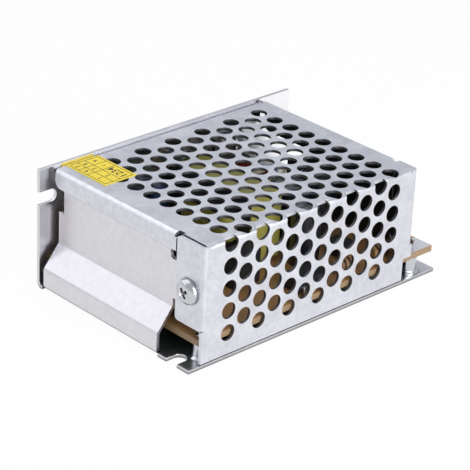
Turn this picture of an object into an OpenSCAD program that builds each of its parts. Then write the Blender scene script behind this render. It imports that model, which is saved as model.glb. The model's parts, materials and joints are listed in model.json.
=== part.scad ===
// Mesh case switching power supply, about 24 W.
// A folded chassis (base, solid wall and stepped end plate) carries the board on
// studs, and a folded mesh cover closes the top, one side and both ends.
// X runs from the closed end to the terminals, Y from the mesh side to the solid
// wall and Z up. The origin is under the middle of the base.

/* [Case] */
// Length of the chassis, from the closed end to the terminal end
case_l = 87; // [86:0.5:110]
// Width from the mesh side to the outside of the solid wall
case_w = 57.8; // [57.4:0.1:75]
// Height from the underside to the top of the solid wall
case_h = 33; // [32:0.5:45]
// Thickness of the chassis sheet
chassis_t = 1; // [0.8:0.1:1.2]
// Inside radius of the chassis bends
chassis_bend = 0.8; // [0.4:0.1:1.2]

/* [Mounting slots] */
// Width of the open slots in the solid wall
wall_slot_w = 3.5; // [3:0.1:4.5]
// Depth of a wall slot from the end of the wall
wall_slot_depth = 5.4; // [4:0.1:7]
// Height of the wall slots' centre line
wall_slot_z = 25; // [8:0.5:27]
// Width of the open slots in the base
base_slot_w = 3.8; // [3:0.1:4.5]
// Depth of a base slot from the end of the base
base_slot_depth = 4.5; // [3.5:0.1:6]
// Distance of a base slot's centre line from the edge beside it
base_slot_inset = 6.1; // [4:0.1:8]

/* [End plate] */
// Distance of the end plate's foot from the mesh side
end_near = 11.7; // [11:0.1:14]
// Distance of the end plate's foot from the outside of the solid wall
end_far = 2.7; // [2.4:0.1:6]
// Height at which the end plate starts to lean in
foot_h = 6.1; // [5:0.1:7]
// Height of the leaning stretch
lean_h = 6; // [5:0.1:8]
// Height at which the far edge steps in
shoulder_z = 20.8; // [16:0.1:26]
// How far the far edge steps in
shoulder_in = 2; // [1:0.1:3]
// Lower edge of the tongue behind the cover's flap
tongue_z = 14.2; // [14:0.1:16]
// Diameter of the small hole beside the tongue
peep_d = 2.8; // [1.5:0.1:3]

/* [Cover] */
// Thickness of the cover sheet
cover_t = 0.8; // [0.6:0.1:1]
// Inside radius of the cover bends
cover_bend = 0.4; // [0.2:0.1:0.8]
// Distance of the cover from the closed end of the base
cover_left_in = 3.8; // [3.6:0.1:5]
// Distance of the cover from the terminal end of the base
cover_right_in = 9.6; // [9.5:0.1:12]
// How far the solid wall stands above the cover
wall_proud = 0.4; // [0.2:0.1:1]
// Height of the flange at the closed end
left_flange_h = 4.7; // [3:0.1:8]
// Height of the flange over the terminals
right_flange_h = 13.1; // [8:0.1:13.1]
// Height of that flange where it is cut back, beside the solid wall
right_cut_h = 8.3; // [4:0.1:9.5]
// Length of the cut-back stretch
right_cut_l = 16.4; // [10:0.1:20]
// Distance of the closed end's flange from the mesh side
left_flange_near = 10; // [9.9:0.1:14]
// Distance of the terminal end's flange from the mesh side
right_flange_near = 7.5; // [7.4:0.1:12]
// Length of the screwed flap at the closed end
left_flap_l = 9.6; // [8:0.1:9.6]
// Length of the flap at the terminal end
right_flap_l = 7.2; // [4:0.1:7.2]
// Height of the lower edge of the screwed flap
left_flap_z = 9.9; // [8:0.1:14]
// Height of the lower edge of the flap at the terminal end
right_flap_z = 11; // [10.9:0.1:15]
// Depth of the lip along the solid wall
lip_h = 4.5; // [2:0.1:5]
// Distance of the lip's end from the terminal end of the cover
lip_end_in = 2.4; // [1.8:0.1:6]
// Width of the notch beside the board's terminal end
notch_w = 3; // [1:0.1:5]
// Top of that notch
notch_z = 7.4; // [4:0.1:8]

/* [Perforation] */
// Diameter of the cover's holes
hole_d = 4.4; // [3:0.1:4.8]
// Distance between holes along a column, across the cover
hole_pitch = 6; // [5.4:0.1:8]
// Distance between neighbouring columns, along the cover
column_pitch = 5.12; // [4.8:0.02:8]
// First column's distance from the closed end of the cover
first_column = 9.3; // [6:0.1:14]
// Least distance from a hole's centre to an edge it does not reach
hole_margin = 5.6; // [4:0.1:8]
// First row's distance from the mesh side, on the top
first_row = 2.4; // [2:0.1:4]
// First row's distance below the top, on the side
first_side_row = 1.4; // [1:0.1:3]
// How far the side's columns sit back from the top's
side_shift = 0.65; // [0:0.05:1]
// How far a hole's cut reaches in where it meets the fold
fold_cut = 1.2; // [1:0.1:1.6]

/* [Cover screw] */
// Head diameter of the cover screw
cover_screw_head = 6.6; // [5:0.1:7]
// Distance of the cover screw from the mesh side
cover_screw_in = 5; // [4:0.1:5.8]
// Height of the cover screw
cover_screw_z = 19.2; // [16:0.1:26]

/* [Label] */
// Width of the sticker, along the case
label_w = 10.4; // [6:0.1:14]
// Length of the sticker, across the case
label_l = 16; // [8:0.5:30]
// Distance of the sticker from the closed end of the cover
label_in = 3.6; // [2:0.1:6]
// Thickness of the sticker
label_t = 0.1; // [0.05:0.01:0.2]

/* [Board] */
// Height of the studs between base and board
stud_h = 4.5; // [4:0.1:5]
// Thickness of the board
board_t = 1.6; // [1:0.1:1.6]
// Board's distance from the closed end of the base
board_left_in = 4.3; // [4:0.1:6]
// Board's distance from the terminal end of the base
board_right_in = 0.1; // [0:0.1:0.3]
// Air between the board and the sheet beside it
board_gap = 0.4; // [0.3:0.1:1]
// Diameter of a stud
stud_d = 4.8; // [4.4:0.1:6]
// Distance of the studs from the board's near and far edges
stud_in = 2.3; // [2.2:0.1:4]
// Studs' distance from the board's closed end
stud_left_in = 3.2; // [3:0.1:5]
// Near stud's distance from the board's terminal end
stud_right_in = 6.6; // [4:0.1:8]
// Far stud's distance from the board's terminal end
stud_far_right_in = 15.2; // [14.4:0.1:16]
// Head diameter of the board screws
board_screw_head = 5.2; // [4:0.1:5.2]
// Thickness of the insulating sheet on the base
sheet_t = 0.3; // [0.1:0.05:0.4]

/* [Terminal block] */
// Number of terminals
ways = 5; // [2:1:5]
// Distance between terminals
term_pitch = 7.5; // [7.4:0.01:7.7]
// Thickness of the barriers and the back wall
barrier_t = 1.2; // [1:0.1:1.4]
// Height of the block above the board
block_h = 11.9; // [9.8:0.1:13]
// How far the block's back wall stands above the barriers
back_rise = 1.5; // [0.5:0.1:2]
// Depth of the block, along the case
block_d = 8.5; // [8.4:0.1:8.9]
// Height of the block's floor above the board
block_floor = 3.2; // [3:0.1:3.6]
// Block's distance from the board's far edge
block_far_in = 9.3; // [9.1:0.1:11]
// Thickness of the contact plates
contact_t = 0.8; // [0.6:0.1:1]
// Thickness of the clamp plates
clamp_t = 0.9; // [0.6:0.1:1]
// Side of a clamp plate
clamp_side = 5.7; // [5:0.1:5.8]
// Thread diameter of the terminal screws
term_thread = 3; // [2.5:0.5:3]
// Head diameter of the terminal screws
term_head = 5.4; // [4.6:0.1:5.6]

/* [Transformer] */
// Height of the core
core_h = 18.6; // [14:0.1:19]
// Thickness of the core's yokes and outer legs
core_leg = 4.4; // [3:0.1:5]
// Thickness of the centre leg, across the case
core_centre = 7.4; // [6:0.1:8]
// How far the winding stands out on each face of the core
winding_out = 3.9; // [2:0.1:4]
// Air between the transformer and the bulk capacitor
transformer_gap = 5.3; // [0.5:0.1:6]
// Air between the transformer and the output capacitors
output_gap = 0.2; // [0.2:0.1:2]
// Air between the core and the power packages
package_gap = 3.2; // [1:0.1:6]
// Length of the core, across the case
core_l = 27.4; // [22:0.1:28]

/* [Capacitors] */
// Diameter of the bulk capacitor
bulk_d = 13; // [10:0.5:16]
// Length of the bulk capacitor
bulk_l = 25; // [20:0.5:25]
// Diameter of the output capacitors
out_d = 10; // [8:0.5:10]
// Height of the output capacitors
out_h = 16; // [12:0.5:20]
// Thickness of the capacitors' sleeves
sleeve_t = 0.2; // [0.1:0.05:0.3]
// Length of the mains suppression capacitor
x_cap_l = 9; // [6:0.5:10]
// Depth of the mains suppression capacitor
x_cap_d = 4.5; // [3.5:0.5:6]
// Height of the mains suppression capacitor
x_cap_h = 10; // [7:0.5:16]

/* [Adjuster] */
// Side of the voltage trimmer's body
trimmer_side = 6; // [5:0.1:6.2]
// Diameter of the trimmer's rotor
rotor_d = 4.8; // [4:0.1:4.8]

/* [Hidden] */
$fn = 48;

over = 1;           // how far a cutter runs past the face that it cuts
seat_gap = 0.3;     // air between a cover edge and what it lies against
fit = 0.05;         // radial play of a screw or stud in its own hole
relief = 0.5;       // slit beside a bend
far_gap = 0.4;      // air between the cover's far edge and the solid wall
recess_depth = 1;   // depth of the cross recess in a screw head
bend_steps = 8;     // flats that round off each bend

left = -case_l / 2;
right = case_l / 2;
near = -case_w / 2;
far = case_w / 2;
chassis_r = chassis_bend + chassis_t;

cover_left = left + cover_left_in;
cover_right = right - cover_right_in;
cover_top = case_h - wall_proud;
cover_far = far - chassis_t - far_gap;
cover_r = cover_bend + cover_t;
side_z = chassis_t + seat_gap;
flap_top = cover_top - seat_gap;
flange_far = cover_far - cover_t - seat_gap;

panel_x = cover_left + cover_t + seat_gap;
panel_top = cover_top - cover_t - seat_gap;
foot_near = near + end_near;
foot_far = far - end_far;
tongue_near = near + cover_t + board_gap;

board_left = left + board_left_in;
board_right = right - board_right_in;
board_near = near + cover_t + board_gap;
board_far = far - chassis_t - board_gap;
board_z = chassis_t + stud_h;
board_top = board_z + board_t;

screw_thread = 3;   // M3 screws throughout
spigot_d = 4.2;     // clinched foot of a stud
pan_h = 2;          // height of a pan head
stud_spots = [
    [board_left + stud_left_in, board_near + stud_in],
    [board_right - stud_right_in, board_near + stud_in],
    [board_left + stud_left_in, board_far - stud_in - 1],
    [board_right - stud_far_right_in, board_far - stud_in - 1]
];

// ---------------------------------------------------------------- places on the board

// Each part takes its place from the edge or the part beside it. Terminal block:
contact_pin_d = 1.2;
block_right = board_right - 0.4;
block_left = block_right - block_d;
block_far = board_far - block_far_in;
block_l = ways * term_pitch + barrier_t;
block_top = board_top + block_h;
floor_z = board_top + block_floor;
term_x = (block_left + barrier_t + block_right) / 2;
pin_x = block_left + barrier_t + 0.6 + contact_pin_d / 2;
function term_y(i) = block_far - block_l + barrier_t / 2 + (i - 0.5) * term_pitch;

// Line choke in the far corner of the closed end, and the parts in front of it
choke_l = 13;
choke_w = 9.6;
choke_h = 15;
choke_leg = 3;
choke_x0 = board_left + 10.6;
choke_y0 = board_far - choke_w - 0.3;
bulk_x = board_left + 12.3 + bulk_d / 2;
bulk_y = choke_y0 - 1.5 - bulk_l;
bridge_l = 14.6;
bridge_x0 = board_left + 6.2;
bridge_y0 = choke_y0 - 2.5 - bridge_l;
fuse_d = 8.4;
fuse_y = board_near + 11.6;

// Power packages, screwed to the solid wall below the cover's lip
package_w = 10.2;
package_t = 4.5;
package_h = 15.4;
package_body_h = 9;
tab_t = 1.3;
pad_t = 0.3;
package_far = far - chassis_t - pad_t;
package_z = cover_top - lip_h - 2 - package_h;
package_hole_z = package_z + 12.4;
rectifier_x = block_left - 14.5;

// Output inductor, and the output capacitors as [x, y, diameter]: two side by side
// in front of the ring and a smaller one nearer to the mesh side
ring_od = 13;
ring_id = 7;
ring_w = 5;
wire_d = 0.9;
turns = 16;
ring_x = block_left - 16.3;
ring_y = board_far - 12.2;
ring_z = board_top + ring_od / 2 + wire_d + 0.1;
pair_x = block_left - 2.7 - out_d / 2;
pair_y = board_near + 26.7;
pair_pitch = out_d + 0.5;
out_spots = [
    [pair_x, pair_y, out_d],
    [pair_x - pair_pitch, pair_y, out_d],
    [pair_x - pair_pitch - 6.3, board_near + 14.4, out_d - 2]
];

// The transformer fills the room between the capacitors and the power packages
bobbin_lip = 0.4;
winding_spread = winding_out + bobbin_lip;
core_x0 = bulk_x + bulk_d / 2 + transformer_gap + winding_spread;
core_t = out_spots[1].x - out_d / 2 - output_gap - winding_spread - core_x0;
core_y0 = package_far - package_t - package_gap - core_l;
core_z0 = board_top + 1.1;
core_mid = [core_x0 + core_t / 2, core_y0 + core_l / 2];
transistor_x = core_mid.x + 3.6;
x_cap_x0 = core_x0 - 1.7 - x_cap_l;
x_cap_y0 = bulk_y - 0.7 - x_cap_d;

// Row of small parts along the near edge
chip_half = 5.2;
chip_x = core_mid.x - 0.2;
small_y = board_near + 5;

// ---------------------------------------------------------------- helpers

// Edge view of a folded sheet. The path runs along the outer face, the sheet
// lies on the right of it, and each corner is a bend of inside radius r.
function unit(v) = v / norm(v);
function right_of(v) = [unit(v).y, -unit(v).x];
function turn_at(path, i) = asin(cross(unit(path[i] - path[i - 1]), unit(path[i + 1] - path[i])));

// Points of one face of the sheet, at the given depth below the path's face
function face_points(path, t, r, depth) = [
    path[0] + depth * right_of(path[1] - path[0]),
    for (i = [1:len(path) - 2])
        let (
            way = unit(path[i] - path[i - 1]),
            turn = turn_at(path, i),
            side = sign(turn),
            bend = turn > 0 ? r : r + t,
            centre = path[i] - way * bend * tan(abs(turn) / 2) - side * bend * right_of(way),
            from = atan2(way.y, way.x) - 90 * side
        )
            for (s = [0:bend_steps])
                centre + (bend + side * depth)
                    * [cos(from + turn * s / bend_steps), sin(from + turn * s / bend_steps)],
    path[len(path) - 1] + depth * right_of(path[len(path) - 1] - path[len(path) - 2])
];

module folded_section(path, t, r) {
    back = face_points(path, t, r, t);
    polygon(concat(face_points(path, t, r, 0),
        [for (i = [1:len(back)]) back[len(back) - i]]));
}

// Extrudes a shape drawn in X and Z along Y, from y0 to y1
module along_y(y0, y1) {
    translate([0, y1, 0])
        rotate([90, 0, 0])
            linear_extrude(y1 - y0)
                children();
}

// Extrudes a shape drawn in Y and Z along X, from x0 to x1
module along_x(x0, x1) {
    translate([x0, 0, 0])
        rotate([90, 0, 90])
            linear_extrude(x1 - x0)
                children();
}

// Box from its low corner to its high corner
module block(low, high) {
    translate(low)
        cube(high - low);
}

// What a file takes off a square corner at the origin to leave radius r;
// the corner points towards +X and +Y
module corner_waste(r) {
    difference() {
        translate([-r, -r])
            square(r + over);
        translate([-r, -r])
            circle(r);
    }
}

// Flat shape of a rectangle from (x0, y0) to (x1, y1) with round corners
module round_rect(x0, y0, x1, y1, r) {
    translate([x0 + r, y0])
        square([x1 - x0 - 2 * r, y1 - y0]);
    translate([x0, y0 + r])
        square([x1 - x0, y1 - y0 - 2 * r]);
    for (x = [x0 + r, x1 - r], y = [y0 + r, y1 - r])
        translate([x, y])
            circle(r);
}

// Pan head screw: the head's seat is at the origin, the shank runs down
module pan_screw(head_d, head_h, shank_d, shank_l) {
    edge = 0.6;
    blade = 0.7;
    difference() {
        rotate_extrude()
            polygon([[0, -shank_l], [shank_d / 2 - 0.3, -shank_l], [shank_d / 2, 0.3 - shank_l],
                [shank_d / 2, 0], [head_d / 2, 0], [head_d / 2, head_h - edge],
                [head_d / 2 - edge, head_h], [0, head_h]]);
        for (a = [0, 90])
            rotate(a)
                translate([-head_d * 0.28, -blade / 2, head_h - recess_depth])
                    cube([head_d * 0.56, blade, recess_depth + over]);
    }
}

// ---------------------------------------------------------------- chassis

// Open slot that comes in from an end at x = end, towards the middle
module open_slot(end, depth, w) {
    inward = -sign(end);
    translate([end + inward * (depth - w / 2), 0])
        circle(w / 2);
    translate([min(end - inward * over, end + inward * (depth - w / 2)), -w / 2])
        square([depth - w / 2 + over, w]);
}

module end_plate() {
    difference() {
        along_y(tongue_near, foot_far)
            folded_section([[left + chassis_r + over, 0], [left, 0], [left, foot_h],
                [panel_x, foot_h + lean_h], [panel_x, panel_top]], chassis_t, chassis_bend);
        block([left - over, tongue_near - over, -over],
            [panel_x + chassis_r + over, foot_near, tongue_z]);
        block([panel_x - over, foot_far - shoulder_in, shoulder_z],
            [panel_x + chassis_r, foot_far + over, case_h]);
        translate([panel_x - over, near + cover_screw_in, cover_screw_z])
            rotate([0, 90, 0])
                cylinder(h = chassis_t + 2 * over, r = screw_thread / 2 + fit);
        translate([panel_x - over, near + left_flange_near + 1.7, cover_top - left_flange_h - 1.9])
            rotate([0, 90, 0])
                cylinder(h = chassis_t + 2 * over, d = peep_d);
    }
}

module chassis() {
    color("gainsboro")
        difference() {
            union() {
                difference() {
                    along_x(left, right)
                        folded_section([[far, case_h], [far, 0], [near, 0]],
                            chassis_t, chassis_bend);
                    block([left - over, foot_near - relief, -over],
                        [left + chassis_r, foot_far + relief, chassis_t + chassis_bend + over]);
                }
                end_plate();
            }
            for (end = [left, right])
                along_y(far - chassis_t - over, far + over)
                    translate([0, wall_slot_z])
                        open_slot(end, wall_slot_depth, wall_slot_w);
            for (spot = [[left, near + base_slot_inset], [right, far - base_slot_inset]])
                translate([0, spot.y, -over])
                    linear_extrude(chassis_t + 2 * over)
                        open_slot(spot.x, base_slot_depth, base_slot_w);
            for (spot = stud_spots)
                translate([spot.x, spot.y, -over])
                    cylinder(h = chassis_t + 2 * over, r = spigot_d / 2 + fit);
            for (x = [transistor_x, rectifier_x])
                translate([x, far + over, package_hole_z])
                    rotate([90, 0, 0])
                        cylinder(h = chassis_t + 2 * over, r = screw_thread / 2 + fit);
        }
}

// ---------------------------------------------------------------- cover

lip_right = cover_right - lip_end_in;
side_columns = floor((cover_right - cover_left - first_column - hole_margin) / column_pitch);
top_rows = floor((cover_far - near - first_row - hole_margin) / (hole_pitch / 2));
side_rows = floor((cover_top - side_z - first_side_row - hole_margin) / (hole_pitch / 2));

module cover_folds() {
    // top, mesh side and lip, folded along the case
    along_x(cover_left + cover_r, lip_right)
        folded_section([[near, side_z], [near, cover_top], [cover_far, cover_top],
            [cover_far, cover_top - lip_h]], cover_t, cover_bend);
    difference() {
        along_x(lip_right - relief, cover_right - cover_r)
            folded_section([[near, side_z], [near, cover_top], [cover_far, cover_top]],
                cover_t, cover_bend);
        block([lip_right - over, cover_far - cover_r - relief, cover_top - over],
            [lip_right + relief, cover_far + over, cover_top + over]);
    }
    // flanges at both ends of the top
    along_y(near + left_flange_near, flange_far)
        folded_section([[cover_left, cover_top - left_flange_h], [cover_left, cover_top],
            [cover_left + cover_r + over, cover_top]], cover_t, cover_bend);
    along_y(near + right_flange_near, flange_far)
        folded_section([[cover_right - cover_r - over, cover_top], [cover_right, cover_top],
            [cover_right, cover_top - right_flange_h]], cover_t, cover_bend);
    // flaps at both ends of the mesh side
    translate([0, 0, left_flap_z])
        linear_extrude(flap_top - left_flap_z)
            folded_section([[cover_left + cover_r + over, near], [cover_left, near],
                [cover_left, near + left_flap_l]], cover_t, cover_bend);
    translate([0, 0, right_flap_z])
        linear_extrude(flap_top - right_flap_z)
            folded_section([[cover_right, near + right_flap_l], [cover_right, near],
                [cover_right - cover_r - over, near]], cover_t, cover_bend);
    // plain ends of the mesh side below the flaps
    block([cover_left, near, side_z],
        [cover_left + cover_r + over, near + cover_t, left_flap_z]);
    block([cover_right - cover_r - over, near, side_z],
        [cover_right, near + cover_t, right_flap_z]);
}

module perforations() {
    for (column = [0:side_columns]) {
        x = cover_left + first_column + column * column_pitch;
        for (row = [0:top_rows])
            if ((row + column) % 2 == 1)
                translate([x, near + first_row + row * hole_pitch / 2, cover_top - fold_cut])
                    cylinder(h = fold_cut + over, d = hole_d);
        for (row = [0:side_rows])
            if ((row + column) % 2 == 0)
                translate([x - side_shift, near + fold_cut,
                    cover_top - first_side_row - row * hole_pitch / 2])
                    rotate([90, 0, 0])
                        cylinder(h = fold_cut + over, d = hole_d);
    }
}

module cover() {
    flange_corner = 2;
    flap_corner = 1;
    color("lightgray")
        difference() {
            cover_folds();
            perforations();
            // cut-back stretch of the flange over the terminals
            block([cover_right - cover_t - over, flange_far - right_cut_l,
                cover_top - right_flange_h - over],
                [cover_right + over, cover_far + over, cover_top - right_cut_h]);
            // notch beside the board's terminal end
            block([cover_right - notch_w, near - over, side_z - over],
                [cover_right + over, near + cover_t + over, notch_z]);
            // rounded corners of the flanges and the flaps
            along_x(cover_left - over, cover_left + cover_t + over) {
                translate([flange_far, cover_top - left_flange_h])
                    mirror([0, 1])
                        corner_waste(flange_corner);
                translate([near + left_flap_l, left_flap_z])
                    mirror([0, 1])
                        corner_waste(flap_corner);
                translate([near + left_flap_l, flap_top])
                    corner_waste(flap_corner);
            }
            along_x(cover_right - cover_t - over, cover_right + over) {
                for (corner = [[flange_far, right_cut_h],
                    [flange_far - right_cut_l, right_flange_h]])
                    translate([corner.x, cover_top - corner.y])
                        mirror([0, 1])
                            corner_waste(flange_corner);
                translate([near + right_flap_l, right_flap_z])
                    mirror([0, 1])
                        corner_waste(flap_corner);
                translate([near + right_flap_l, flap_top])
                    corner_waste(flap_corner);
            }
            // clearance hole of the cover screw
            translate([cover_left - over, near + cover_screw_in, cover_screw_z])
                rotate([0, 90, 0])
                    cylinder(h = cover_t + 2 * over, r = screw_thread / 2 + seat_gap);
        }
}

module cover_screw() {
    color("silver")
        translate([cover_left, near + cover_screw_in, cover_screw_z])
            rotate([0, -90, 0])
                pan_screw(cover_screw_head, pan_h, screw_thread, 6);
}

module label() {
    color("gold")
        along_x(cover_left + label_in, cover_left + label_in + label_w)
            folded_section([[cover_far - label_l, cover_top + label_t],
                [cover_far + label_t, cover_top + label_t],
                [cover_far + label_t, cover_top - cover_r - label_t]], label_t, cover_r);
}

// ---------------------------------------------------------------- board

module insulating_sheet() {
    margin = 8;
    stud_room = stud_d / 2 + 1.2;
    color("whitesmoke")
        difference() {
            block([board_left + margin, board_near + margin, chassis_t],
                [board_right - margin, board_far - 1, chassis_t + sheet_t]);
            for (spot = stud_spots)
                translate([spot.x, spot.y, 0])
                    cylinder(h = board_z, r = stud_room);
        }
}

module circuit_board() {
    color("tan")
        difference() {
            block([board_left, board_near, board_z], [board_right, board_far, board_top]);
            for (spot = stud_spots)
                translate([spot.x, spot.y, board_z - over])
                    cylinder(h = board_t + 2 * over, r = screw_thread / 2 + 0.2);
            for (i = [1:ways])
                translate([pin_x, term_y(i), board_z - over])
                    cylinder(h = board_t + 2 * over, r = contact_pin_d / 2 + fit);
        }
}

module standoffs() {
    flare_h = 0.7;
    color("silver")
        for (spot = stud_spots)
            translate([spot.x, spot.y, 0])
                rotate_extrude()
                    polygon([[screw_thread / 2 + fit, 0.1], [spigot_d / 2, 0.1],
                        [spigot_d / 2, chassis_t], [stud_d / 2 + flare_h, chassis_t],
                        [stud_d / 2, chassis_t + flare_h], [stud_d / 2, board_z],
                        [screw_thread / 2 + fit, board_z]]);
}

module board_screws() {
    color("silver")
        for (spot = stud_spots)
            translate([spot.x, spot.y, board_top])
                pan_screw(board_screw_head, pan_h, screw_thread, board_t + stud_h - 0.5);
}

// ---------------------------------------------------------------- terminal block

module terminal_housing() {
    shank_room = term_thread / 2 + 0.2;
    color("dimgray")
        difference() {
            block([block_left, block_far - block_l, board_top],
                [block_right, block_far, block_top]);
            block([block_left + barrier_t, block_far - block_l - over, block_top - back_rise],
                [block_right + over, block_far + over, block_top + over]);
            for (i = [1:ways]) {
                // well between two barriers, open at the top and the front
                block([block_left + barrier_t, term_y(i) - (term_pitch - barrier_t) / 2, floor_z],
                    [block_right + over, term_y(i) + (term_pitch - barrier_t) / 2,
                        block_top + over]);
                translate([term_x, term_y(i), board_top + 0.8])
                    cylinder(h = block_floor, r = shank_room);
                translate([pin_x, term_y(i), board_top - over])
                    cylinder(h = block_floor + 2 * over, r = contact_pin_d / 2 + fit);
            }
        }
}

module terminal_contacts() {
    pin_tail = 1.2;
    color("goldenrod")
        for (i = [1:ways])
            difference() {
                union() {
                    block([pin_x - contact_pin_d / 2 - 0.2, term_y(i) - clamp_side / 2, floor_z],
                        [block_right - 0.2, term_y(i) + clamp_side / 2, floor_z + contact_t]);
                    translate([pin_x, term_y(i), board_z - pin_tail])
                        cylinder(h = floor_z + contact_t - board_z + pin_tail,
                            d = contact_pin_d);
                }
                translate([term_x, term_y(i), floor_z - over])
                    cylinder(h = contact_t + 2 * over, r = term_thread / 2);
            }
}

clamp_z = floor_z + contact_t + seat_gap;
head_z = clamp_z + clamp_t + 0.1;

module terminal_clamp(i) {
    chamfer = 0.8;
    half = clamp_side / 2;
    color("silver")
        translate([term_x, term_y(i), clamp_z])
            difference() {
                linear_extrude(clamp_t)
                    polygon([[chamfer - half, -half], [half - chamfer, -half],
                        [half, chamfer - half], [half, half - chamfer],
                        [half - chamfer, half], [chamfer - half, half],
                        [-half, half - chamfer], [-half, chamfer - half]]);
                translate([0, 0, -over])
                    cylinder(h = clamp_t + 2 * over, r = term_thread / 2 + 0.2);
            }
}

module terminal_screw(i) {
    shank_l = head_z - board_top - 1.1;
    color("lightgray")
        translate([term_x, term_y(i), head_z])
            pan_screw(term_head, 1.9, term_thread - 2 * fit, shank_l);
}

// ---------------------------------------------------------------- transformer

window_l = core_l / 2 - core_leg;
tape_t = 0.2;
flange_t = 1;

module transformer_core() {
    color("dimgray")
        along_x(core_x0, core_x0 + core_t)
            difference() {
                translate([core_y0, core_z0])
                    square([core_l, core_h]);
                for (side = [-1, 1])
                    translate([side < 0 ? core_mid.y - window_l : core_mid.y + core_centre / 2,
                        core_z0 + core_leg])
                        square([window_l - core_centre / 2, core_h - 2 * core_leg]);
            }
}

module core_tape() {
    color("khaki")
        along_x(core_x0 + 0.3, core_x0 + core_t - 0.3)
            difference() {
                round_rect(core_y0 - tape_t, core_z0 - tape_t, core_y0 + core_l + tape_t,
                    core_z0 + core_h + tape_t, tape_t);
                translate([core_y0, core_z0])
                    square([core_l, core_h]);
            }
}

// Footprint of the winding and its bobbin, around the centre leg
module around_leg(out_x, out_y, in_x, in_y) {
    difference() {
        translate([core_mid.x - out_x, core_mid.y - out_y])
            square([2 * out_x, 2 * out_y]);
        translate([core_mid.x - in_x, core_mid.y - in_y])
            square([2 * in_x, 2 * in_y]);
    }
}

leg_room = 0.1;
tube_t = 0.7;
tube_x = core_t / 2 + leg_room + tube_t;
tube_y = core_centre / 2 + leg_room + tube_t;
wound_x = core_t / 2 + winding_out;
wound_y = window_l - 0.3;
window_z0 = core_z0 + core_leg + leg_room;
window_z1 = core_z0 + core_h - core_leg - leg_room;

module transformer_bobbin() {
    pin_rail = 3.2;
    color("black") {
        for (z = [window_z0, window_z1 - flange_t])
            translate([0, 0, z])
                linear_extrude(flange_t)
                    around_leg(wound_x + bobbin_lip, wound_y + 0.1, tube_x - tube_t,
                        tube_y - tube_t);
        translate([0, 0, window_z0 + flange_t])
            linear_extrude(window_z1 - window_z0 - 2 * flange_t)
                around_leg(tube_x, tube_y, tube_x - tube_t, tube_y - tube_t);
        // pin rails beside the core, down to the board
        for (side = [-1, 1]) {
            rail_in = core_mid.x + side * (core_t / 2 + 0.3);
            rail_out = rail_in + side * pin_rail;
            block([min(rail_in, rail_out), core_mid.y - wound_y, board_top],
                [max(rail_in, rail_out), core_mid.y + wound_y, window_z0 + flange_t / 2]);
        }
    }
}

module transformer_winding() {
    color("khaki")
        translate([0, 0, window_z0 + flange_t])
            linear_extrude(window_z1 - window_z0 - 2 * flange_t)
                difference() {
                    round_rect(core_mid.x - wound_x, core_mid.y - wound_y,
                        core_mid.x + wound_x, core_mid.y + wound_y, 2.5);
                    translate([core_mid.x - tube_x, core_mid.y - tube_y])
                        square([2 * tube_x, 2 * tube_y]);
                }
}

// ---------------------------------------------------------------- capacitors

// Aluminium can standing on z = 0, with its crimped neck near the foot
module can(d, h) {
    r = d / 2 - sleeve_t - 0.02;
    rotate_extrude()
        polygon([[0, 0.4], [r - 0.7, 0.4], [r, 1], [r, 2.2], [r - 0.6, 2.8], [r, 3.4],
            [r, h - 0.7], [r - 0.2, h - 0.3], [r - 0.6, h - 0.1], [0, h - 0.1]]);
}

// Shrunk sleeve round such a can, open over most of its top
module sleeve(d, h) {
    r = d / 2;
    inner = r - sleeve_t;
    rotate_extrude()
        polygon([[inner, 0], [r, 0], [r, h - 0.5], [r - 0.5, h], [r - 1, h], [r - 1, h - 0.1],
            [inner - 0.6, h - 0.1], [inner - 0.2, h - 0.3], [inner, h - 0.7]]);
}

module lay_bulk() {
    translate([bulk_x, bulk_y + bulk_l, board_top + bulk_d / 2])
        rotate([90, 0, 0])
            children();
}

module bulk_capacitor_can() {
    color("silver")
        lay_bulk()
            can(bulk_d, bulk_l);
}

module bulk_capacitor_sleeve() {
    color("darkslategray")
        lay_bulk()
            sleeve(bulk_d, bulk_l);
}

module output_capacitor_cans() {
    color("silver")
        for (spot = out_spots)
            translate([spot.x, spot.y, board_top])
                can(spot.z, out_h);
}

module output_capacitor_sleeves() {
    color("darkslategray")
        for (spot = out_spots)
            translate([spot.x, spot.y, board_top])
                sleeve(spot.z, out_h);
}

module x_capacitor() {
    foot = 0.5;
    color("dimgray")
        difference() {
            translate([0, 0, board_top])
                linear_extrude(x_cap_h)
                    round_rect(x_cap_x0, x_cap_y0, x_cap_x0 + x_cap_l, x_cap_y0 + x_cap_d, 0.6);
            // stand-off gap under the middle
            block([x_cap_x0 + 2, x_cap_y0 - over, board_top - over],
                [x_cap_x0 + x_cap_l - 2, x_cap_y0 + x_cap_d + over, board_top + foot]);
        }
}

// Disc component standing on two legs, its faces towards Y
module disc(d, t, z) {
    leg_d = 0.6;
    leg_gap = 2.5;
    translate([0, t / 2, z + d / 2])
        rotate([90, 0, 0])
            rotate_extrude()
                polygon([[0, 0], [d / 2 - 0.8, 0], [d / 2, 0.8], [d / 2, t - 0.8],
                    [d / 2 - 0.8, t], [0, t]]);
    for (side = [-1, 1])
        translate([side * leg_gap, 0, 0])
            cylinder(h = z + d / 3, d = leg_d);
}

module y_capacitor() {
    y_cap_d = 7.4;
    y_cap_t = 3;
    color("royalblue")
        translate([choke_x0 + choke_l + 6.4 + y_cap_d / 2, board_far - 3.1, board_top])
            disc(y_cap_d, y_cap_t, 5.7);
}

module thermistor() {
    thermistor_d = 9;
    thermistor_t = 4;
    color("darkgreen")
        translate([bulk_x - bulk_d / 2 - 0.8 - thermistor_d / 2,
            fuse_y + fuse_d / 2 + 1.2 + thermistor_t / 2, board_top])
            disc(thermistor_d, thermistor_t, 2.2);
}

module fuse() {
    fuse_h = 7.6;
    color("saddlebrown")
        translate([board_left + 8, fuse_y, board_top])
            cylinder(h = fuse_h, d = fuse_d);
}

// ---------------------------------------------------------------- line choke

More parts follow.
